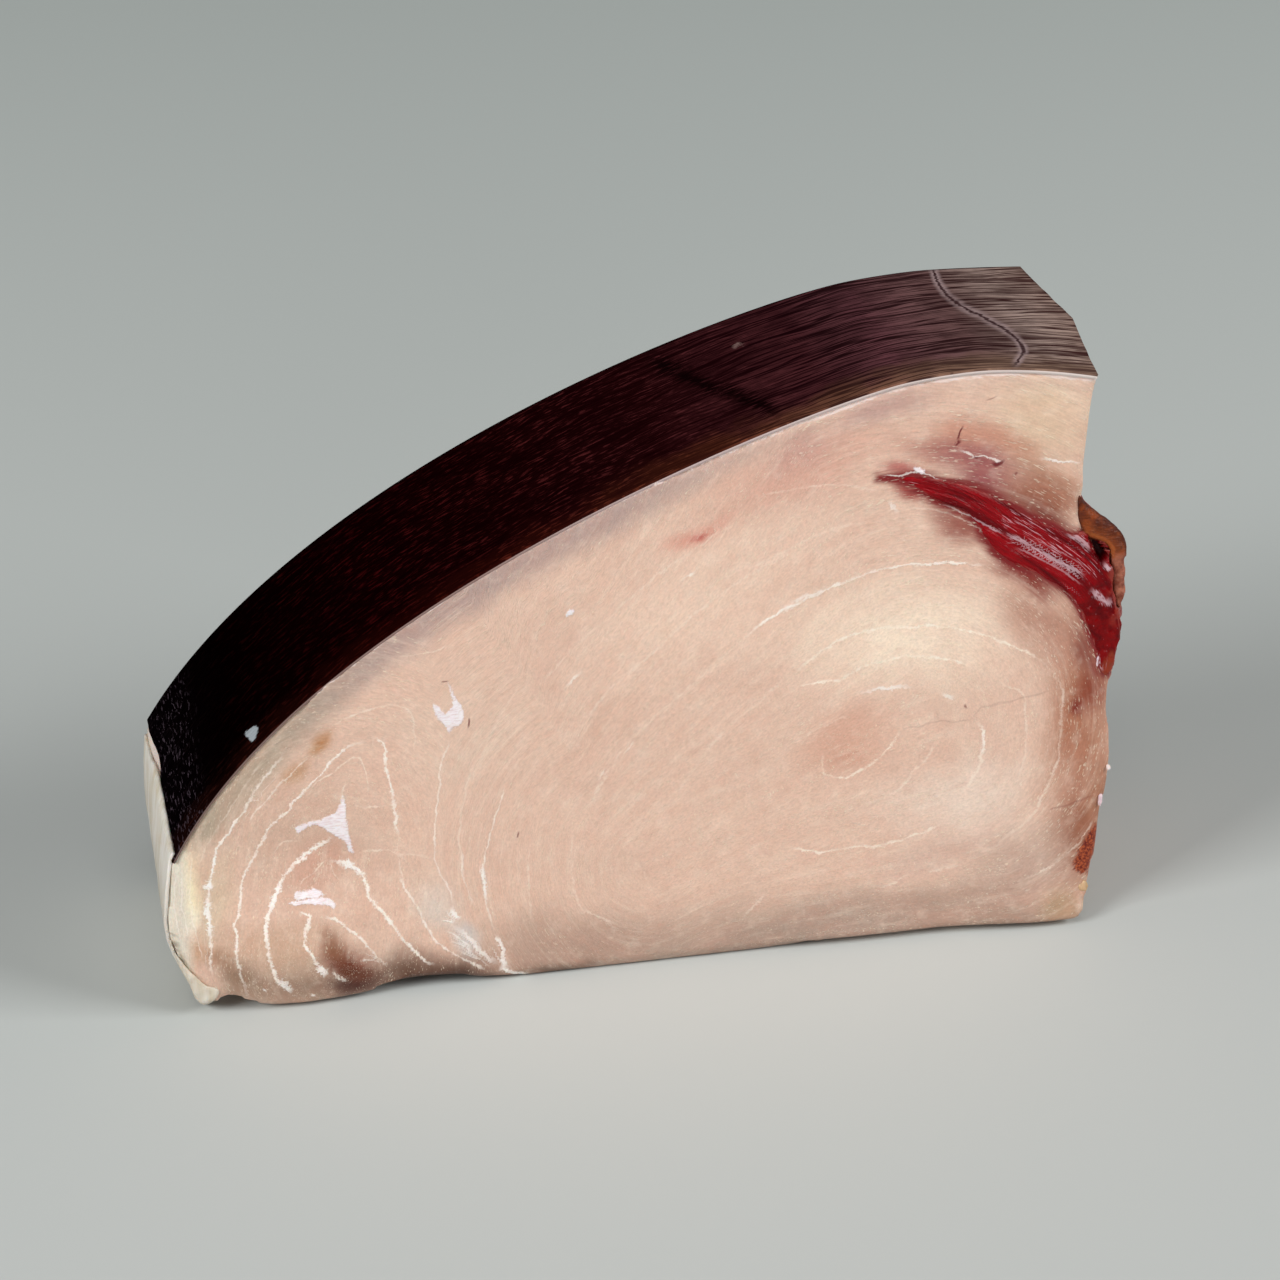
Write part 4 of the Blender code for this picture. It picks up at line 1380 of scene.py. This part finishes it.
# the dark muscle: its outline carried through the slice, fibrous on the cuts and torn at the thick end, in mm
muscle = {
    "voxel": 0.36,
    "proud": 0.14,     # above the knife cuts
    "fibre": 0.16,
    "clot": 0.12,
    "tear": 0.7,
    "stand": 2.9,      # how far the torn end stands out of the side behind the photo's edge
    "hollow": 2.2,
    "tip": ((1109, 668), (14, 20)),    # the amber lower tip in the photo: middle and reach, in pixels
}


def shapeMuscle(mesh):
    points = pointsOf(mesh)
    normals = rowsOf(mesh.vertex_normals, "vector")
    flat = points.copy()
    flat[:, 1] = frontCut
    places = pixelsOf(flat)
    inside = insideOutline(places, musclePixels["outline"])
    line = smoothLine(musclePixels["centre"], 8.0)
    distance, signed, along = nearestOn(places, line)
    length = np.linalg.norm(np.diff(line, axis=0), axis=1).sum()
    flow = np.stack([along * length, signed, points[:, 1] / pixelSize], 1) * pixelSize
    cuts = np.abs(normals[:, 1]) > 0.6
    rim = smoothStep(-0.5, 6.0, inside)
    torn = smoothStep(1070, 1092, places[:, 0])
    fibres = noiseAt(flow * (0.25, 1.6, 0.5), 1.0, 3.0) + 0.6 * noiseAt(flow * (0.5, 3.2, 0.8), 1.0, 5.0)
    clots = noiseAt(points, 1.3, 7.0) + 0.7 * noiseAt(points, 0.7, 9.0)
    relief = muscle["fibre"] * fibres * (1 - 0.6 * torn) + muscle["clot"] * clots * torn
    hollow = smoothStep(-3.0, 1.5, insideOutline(places, musclePixels["hollow"])) * (normals[:, 1] < -0.6)
    raised = -0.25 + rim * (muscle["proud"] + 0.25) + relief * rim * 2
    out = np.where(cuts, raised, 0.0) - muscle["hollow"] * hollow
    points += normals * out[:, None]
    side = smoothStep(66.0, 70.0, points[:, 0]) * (1 - np.abs(normals[:, 1]) ** 2)
    lumps = noiseAt(points, 3.4, 1.0) + 0.5 * noiseAt(points, 1.5, 2.0)
    back = smoothStep(frontCut + 3, frontCut + 9, points[:, 1])
    points[:, 0] += side * (lumps * muscle["tear"] - 0.2 + muscle["stand"] * back)
    points[:, 0] -= pastEdge(points)
    movePoints(mesh, points)
    mesh.shade_smooth()
    putAttribute(mesh, "flow", flow)
    putAttribute(mesh, "muscle", inside, along, hollow)
    putAttribute(mesh, "filmAndGlint", drawLines(places, musclePixels["filmAndGlint"]))
    shine = nearestOn(places, smoothLine(musclePixels["shine"], 6.0))[0]
    inward = np.maximum(points[:, 1] - frontCut - 3, 0)
    middle, reach = muscle["tip"]
    tip = np.hypot(*((places - middle) / reach).T) + 0.07 * inward
    putAttribute(mesh, "end", shine, places[:, 0] - 3 * inward, tip)


muscleLook = {
    "fibre": (srgb(94, 0, 7), srgb(150, 5, 16)),
    "lightFibre": srgb(164, 30, 40),
    "darkFibre": srgb(64, 0, 4),
    "clot": (srgb(88, 0, 5), srgb(124, 4, 8)),
    "glint": srgb(222, 170, 180),
    "filmAndGlint": srgb(214, 180, 188),
    "edge": srgb(176, 96, 88),
    "amber": srgb(150, 62, 40),
    "tan": srgb(138, 50, 40),
    # painted shade: the hollow under the flap is coloured near black
    "hollow": srgb(44, 0, 4),
    "specular": 0.12,
    "bump": 0.26,
    "scatter": (0.03, 0.5),
    "radius": (1.0, 0.1, 0.08),
}


def makeMuscleMaterial():
    material, tree, shader = newMaterial("darkMuscle")
    flow = readAttribute(tree, "flow")
    inside, along, hollow = readParts(tree, "muscle")
    shine, column, tip = readParts(tree, "end")
    fibres = fibresAlong(tree, flow, 3.0, 0.3, 0.35, 0.68)
    bands = grainAlong(tree, flow, (0.08, 0.9, 0.3), 3.0, 0.6)
    clots = grain(tree, flow, 0.5, 3.0, 0.55)
    torn = ease(tree, along, 0.66, 0.8)
    colour = blendColour(tree, ease(tree, bands, 0.35, 0.65), *muscleLook["fibre"])
    colour = layOver(tree, colour, muscleLook["lightFibre"], fibres["Fibre"], 0.54, 0.74, 0.0, 0.4)
    colour = layOver(tree, colour, muscleLook["darkFibre"], fibres["Fibre"], 0.45, 0.25, 0.0, 0.7)
    clotTone = blendColour(tree, ease(tree, clots, 0.35, 0.65), *muscleLook["clot"])
    colour = blendColour(tree, torn, colour, clotTone)
    streaky = blendNumber(tree, torn, fibres["Fibre"], clots)
    # small wet glints, thickest where the fibres meet the torn end
    hair = grainAlong(tree, flow, (0.34, 5.2, 1.2), 2.0, 0.6)
    speckle = grainAlong(tree, flow, (1.5, 3.2, 2.0), 2.0, 0.6)
    sparkle = blendNumber(tree, torn, hair, speckle)
    dense = ease(tree, shine, 4.0, 24.0, 0.565, 0.7)
    glint = ease(tree, calc(tree, "SUBTRACT", sparkle, dense), 0.0, 0.07, 0.0, 0.65)
    colour = blendColour(tree, glint, colour, muscleLook["glint"])
    shake = ease(tree, speckle, 0.3, 0.7, -0.5, 0.5)
    # pale films and painted glints, in one pale colour
    filmAndGlint = lineMask(tree, "filmAndGlint", ease(tree, hair, 0.3, 0.65, 1.9, 0.7), 0.3, shake)
    colour = blendColour(tree, filmAndGlint, colour, muscleLook["filmAndGlint"])
    edgeTone = plus(tree, inside, ease(tree, fibres["Fibre"], 0.3, 0.7, -2.0, 2.0))
    colour = layOver(tree, colour, muscleLook["edge"], edgeTone, 3.0, 0.0, 0.0, 0.5)
    amber = plus(tree, tip, ease(tree, clots, 0.3, 0.7, -0.25, 0.25))
    colour = layOver(tree, colour, muscleLook["amber"], amber, 0.4, 1.0, 0.75, 0.0)
    tan = times(tree, ease(tree, column, 1104.0, 1113.0), ease(tree, along, 0.9, 0.8))
    tan = times(tree, tan, ease(tree, clots, 0.45, 0.65))
    colour = blendColour(tree, tan, colour, muscleLook["tan"])
    # painted shade: the hollow under the flap coloured near black
    colour = blendColour(tree, hollow, colour, muscleLook["hollow"])
    rough = ease(tree, streaky, 0.3, 0.7, 0.34, 0.16)
    tree.links.new(rough, shader.inputs["Roughness"])
    height = plus(tree, streaky, times(tree, bands, 0.6))
    finishShader(tree, shader, colour, height, muscleLook)
    return material


def makeMuscle():
    outline = smoothLine(musclePixels["outline"] + musclePixels["outline"][:1], 8.0)[:-1]
    reach = (0, backCut - frontCut + 0.4, 0)
    obj = cutSlab("darkMuscle", outline, frontCut - 0.2, reach)
    mesh = remeshed(obj, muscle["voxel"])
    shapeMuscle(mesh)
    mesh.materials.clear()
    mesh.materials.append(makeMuscleMaterial())
    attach(obj, "root")
    print("dark muscle made,", len(mesh.vertices), "points")


makeMuscle()


def gridSheet(name, rows, columns, place):
    # a grid whose corner-to-corner steps u and v are placed by a function, in mm
    bm = bmesh.new()
    bmesh.ops.create_grid(bm, x_segments=columns, y_segments=rows, size=0.5)
    mesh = meshFrom(bm, name)
    u, v, w = (rowsOf(mesh.vertices, "co") + 0.5).T
    movePoints(mesh, place(u, v))
    return linkObject(name, mesh)


# the browned flap of membrane that stands over the torn muscle like a hood, with a strip down its side
flap = {
    "outline": [
        (1079, 495), (1088, 504), (1097, 511), (1108, 519), (1118, 527), (1124, 536), (1127, 545),
        (1127, 552), (1124, 560), (1125, 570), (1124, 578), (1126, 588), (1123, 598), (1121, 609),
        (1117, 606), (1115, 596), (1113, 586), (1112, 574), (1111, 564), (1111, 556), (1109, 548),
        (1104, 542), (1097, 539), (1090, 538), (1083, 532), (1078, 522), (1077, 508)],
    "rim": [(1085, 530), (1092, 535), (1099, 537), (1106, 541), (1111, 547), (1113, 556)],
    "y": frontCut + 0.3,
    "reach": (2.6, 14.0, -6.8),
    "bend": 5.5,
    "lumps": 0.18,
    "voxel": 0.3,
}
flapLook = {
    "hood": (srgb(84, 30, 10), srgb(136, 60, 18)),
    "hoodRim": srgb(140, 66, 24),
    "hoodEdge": srgb(56, 16, 10),
    "strip": (srgb(118, 54, 38), srgb(172, 104, 82)),
    "shine": srgb(178, 92, 40),
    "fibre": srgb(188, 122, 84),
    "roughness": 0.34,
    "specular": 0.2,
    "bump": 0.25,
    "scatter": (0.15, 0.8),
    "radius": (1.0, 0.35, 0.1),
}


def makeFlap():
    obj = cutSlab("brownFlap", flap["outline"], flap["y"], flap["reach"])
    mesh = remeshed(obj, flap["voxel"])
    points = pointsOf(mesh)
    normals = rowsOf(mesh.vertex_normals, "vector")
    flat = points - np.outer((points[:, 1] - flap["y"]) / flap["reach"][1], flap["reach"])
    places = pixelsOf(flat)
    inside = insideOutline(places, flap["outline"])
    distance, signed, part = nearestOn(places, smoothLine(flap["rim"], 4.0))
    front = np.clip(-normals[:, 1], 0, 1) ** 2
    lumps = noiseAt(points, 1.6, 3.0) + 0.5 * noiseAt(points, 0.8, 6.0)
    points += normals * (flap["lumps"] * lumps)[:, None]
    points[:, 1] -= front * (0.5 * smoothStep(-1, 9, inside) + 0.3 * smoothStep(6, 1, distance))
    # behind the rim it bends into the flesh
    depth = np.clip((points[:, 1] - flap["y"]) / flap["reach"][1], 0, 1)
    points[:, 0] -= flap["bend"] * depth**1.5 * (1 + 0.5 * noiseAt(points, 4.0, 2.0))
    points[:, 2] += 1.6 * depth * noiseAt(points * (0, 1, 1), 3.0, 5.0)
    movePoints(mesh, points)
    mesh.shade_smooth()
    putAttribute(mesh, "flow", points)
    putAttribute(mesh, "flap", smoothStep(548, 562, places[:, 1]), distance, inside)
    mesh.materials.clear()
    mesh.materials.append(makeFlapMaterial())
    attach(obj, "root")


def makeFlapMaterial():
    material, tree, shader = newMaterial("brownFlap")
    flow = readAttribute(tree, "flow")
    low, rim, inside = readParts(tree, "flap")
    fibres = fibresAlong(tree, flow, 1.6, 0.3, 0.4, 0.66)
    clouds = grain(tree, flow, 0.55, 3.0, 0.6)
    hood = blendColour(tree, ease(tree, clouds, 0.35, 0.65), *flapLook["hood"])
    hood = layOver(tree, hood, flapLook["hoodRim"], rim, 14.0, 4.0, 0.0, 0.5)
    hood = layOver(tree, hood, flapLook["hoodEdge"], inside, 4.0, 1.0, 0.0, 0.6)
    strip = blendColour(tree, ease(tree, clouds, 0.35, 0.65), *flapLook["strip"])
    colour = blendColour(tree, low, hood, strip)
    shine = plus(tree, rim, ease(tree, clouds, 0.3, 0.7, -1.5, 1.5))
    colour = layOver(tree, colour, flapLook["shine"], shine, 0.5, 3.0, 0.6, 0.0)
    colour = layOver(tree, colour, flapLook["fibre"], fibres["Fibre"], 0.6, 0.8, 0.0, 0.4)
    shader.inputs["Roughness"].default_value = flapLook["roughness"]
    finishShader(tree, shader, colour, fibres["Fibre"], flapLook)
    return material


makeFlap()
print("flap made")


# pale membrane and fat: the lining of the belly end, the tab at its foot, and small bits on the thick end
membrane = {
    "lining": {"proud": 0.25, "thickness": 0.5, "low": 2.0, "inset": 0.6, "drop": 2.6},
    "tab": {"y": frontCut - 0.7, "voxel": 0.3, "reach": 3.4, "corner": (207, 1004), "outline": [
        (167, 930), (170, 939), (173, 948), (178, 957), (184, 966), (190, 972), (197, 978), (204, 984),
        (210, 987), (219, 989), (218, 994), (215, 999), (208, 1004), (201, 1003), (196, 998), (192, 988),
        (188, 978), (182, 968), (176, 957), (170, 945)]},
    "bits": {
        "sideBitHigh": {"at": (1108, 767), "size": (2.4, 3, 3.4), "tint": srgb(226, 206, 196)},
        "sideBitMid": {"at": (1100, 799), "size": (2.2, 3, 7), "tint": srgb(214, 186, 184)},
        "jellyBead": {"at": (1083, 887), "size": (5, 3, 8), "tint": srgb(196, 160, 118)},
        "tabNub": {"at": (214, 989), "size": (4.5, 2, 1.6), "tint": srgb(240, 238, 232)},
        "rimLump": {"at": (1097, 659), "size": (2.4, 2, 9), "tint": srgb(224, 190, 186)},
    },
}


def makeLining():
    bm = bmesh.new()
    bm.from_mesh(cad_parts["loin"].data)
    loin = BVHTree.FromBMesh(bm)
    bm.free()
    look = membrane["lining"]
    half = arch["thickness"] / 2

    def place(u, v):
        y = arch["shift"][1] + (u * 2 - 1) * (half - look["inset"])
        top = skinHeight(np.full(len(y), arch["front"]["tip"] + arch["shift"][0] + 0.8), y)
        top = top - look["drop"] * smoothStep(0.55, 1.0, u)
        z = look["low"] + v * (top - look["low"] - 0.3)
        points = np.stack([np.zeros(len(y)), y, z], 1)
        for row in points:
            hit = loin.ray_cast(Vector((-100, row[1], row[2])) * mm, Vector((1, 0, 0)))[0]
            row[0] = hit.x / mm if hit else -70.0
        points[:, 0] -= look["proud"] + 0.12 * noiseAt(points * (1, 0.5, 0.5), 1.5, 3.0)
        return points

    obj = gridSheet("bellyLining", 48, 60, place)
    solid = obj.modifiers.new("wall", "SOLIDIFY")
    solid.thickness = look["thickness"] * mm
    solid.offset = 0.0
    applyModifiers(obj).shade_smooth()
    return obj


def membraneTint(points):
    # brightest beside the skin's edge, duller outwards and down
    x, y, z = points.T
    edge = smoothStep(16.0, 2.0, skinHeight(np.full(len(x), arch["front"]["tip"] + 0.8), y) - z)
    shade = 0.78 + 0.22 * edge
    shade = np.where(z < 9, 0.9, shade)[:, None]
    return shade * np.array((1.0, 0.97, 0.92))


def makeTab():
    # the squarish end of the lining that hangs over the belly's foot
    look = membrane["tab"]
    sight = cutPoint(look["corner"], look["y"] + 1) - cutPoint(look["corner"], look["y"])
    obj = cutSlab("bellyTab", look["outline"], look["y"], sight * look["reach"])
    mesh = remeshed(obj, look["voxel"])
    bm = bmesh.new()
    bm.from_mesh(mesh)
    axes = {"use_axis_x": True, "use_axis_y": True, "use_axis_z": True}
    for step in range(6):
        bmesh.ops.smooth_vert(bm, verts=bm.verts, factor=0.5, **axes)
    bm.to_mesh(mesh)
    bm.free()
    points = pointsOf(mesh)
    points += rowsOf(mesh.vertex_normals, "vector") * (0.1 + 0.15 * noiseAt(points, 1.2, 2.0))[:, None]
    points[:, 2] = np.maximum(points[:, 2], 0.02)
    movePoints(mesh, points)
    mesh.shade_smooth()
    return obj


def makeBits():
    bm = bmesh.new()
    for index, bit in enumerate(membrane["bits"].values()):
        ball = bmesh.ops.create_icosphere(bm, subdivisions=4, radius=1.0)["verts"]
        size = Vector(bit["size"]) * pixelSize
        bmesh.ops.scale(bm, vec=size, verts=ball)
        for vert in ball:
            vert.co *= 1 + 0.35 * noise.noise(vert.co * 1.6 + Vector((index * 5, 0, 0)))
        bmesh.ops.translate(bm, vec=cutPoint(bit["at"], frontCut + 0.1), verts=ball)
    bmesh.ops.scale(bm, vec=(mm, mm, mm), verts=bm.verts)
    obj = linkObject("fatBits", meshFrom(bm, "fatBits"))
    obj.data.shade_smooth()
    each = len(obj.data.vertices) // len(membrane["bits"])
    tints = [np.array(bit["tint"]) / srgb(226, 218, 204) for bit in membrane["bits"].values()]
    putAttribute(obj.data, "tint", np.repeat(tints, each, axis=0))
    return obj


membraneLook = {
    "band": (srgb(214, 204, 186), srgb(236, 232, 228)),
    "fibre": srgb(200, 184, 164),
    "roughness": 0.35,
    "specular": 0.4,
    "bump": 0.18,
    "scatter": (0.3, 1.0),
    "radius": (1.0, 0.7, 0.5),
}


def makeMembraneMaterial():
    material, tree, shader = newMaterial("membrane")
    flow = readAttribute(tree, "flow")
    fibres = fibresAlong(tree, flow, 6.0, 0.5, 0.4, 0.7)
    bands = grainAlong(tree, flow, (0.06, 0.35, 0.35), 3.0, 0.6)
    colour = blendColour(tree, ease(tree, bands, 0.35, 0.65), *membraneLook["band"])
    colour = layOver(tree, colour, membraneLook["fibre"], fibres["Fibre"], 0.5, 0.3, 0.0, 0.4)
    colour = blendColour(tree, 1.0, colour, readAttribute(tree, "tint", "Color"), "MULTIPLY")
    shader.inputs["Roughness"].default_value = membraneLook["roughness"]
    finishShader(tree, shader, colour, fibres["Fibre"], membraneLook)
    return material


def makeMembranes():
    material = makeMembraneMaterial()
    pieces = [makeLining(), makeTab(), makeBits()]
    for obj in pieces:
        points = pointsOf(obj.data)
        putAttribute(obj.data, "flow", points[:, [2, 1, 0]])
        if "tint" not in obj.data.attributes:
            putAttribute(obj.data, "tint", membraneTint(points))
        obj.data.materials.clear()
        obj.data.materials.append(material)
        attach(obj, "root")


makeMembranes()
print("membranes made")
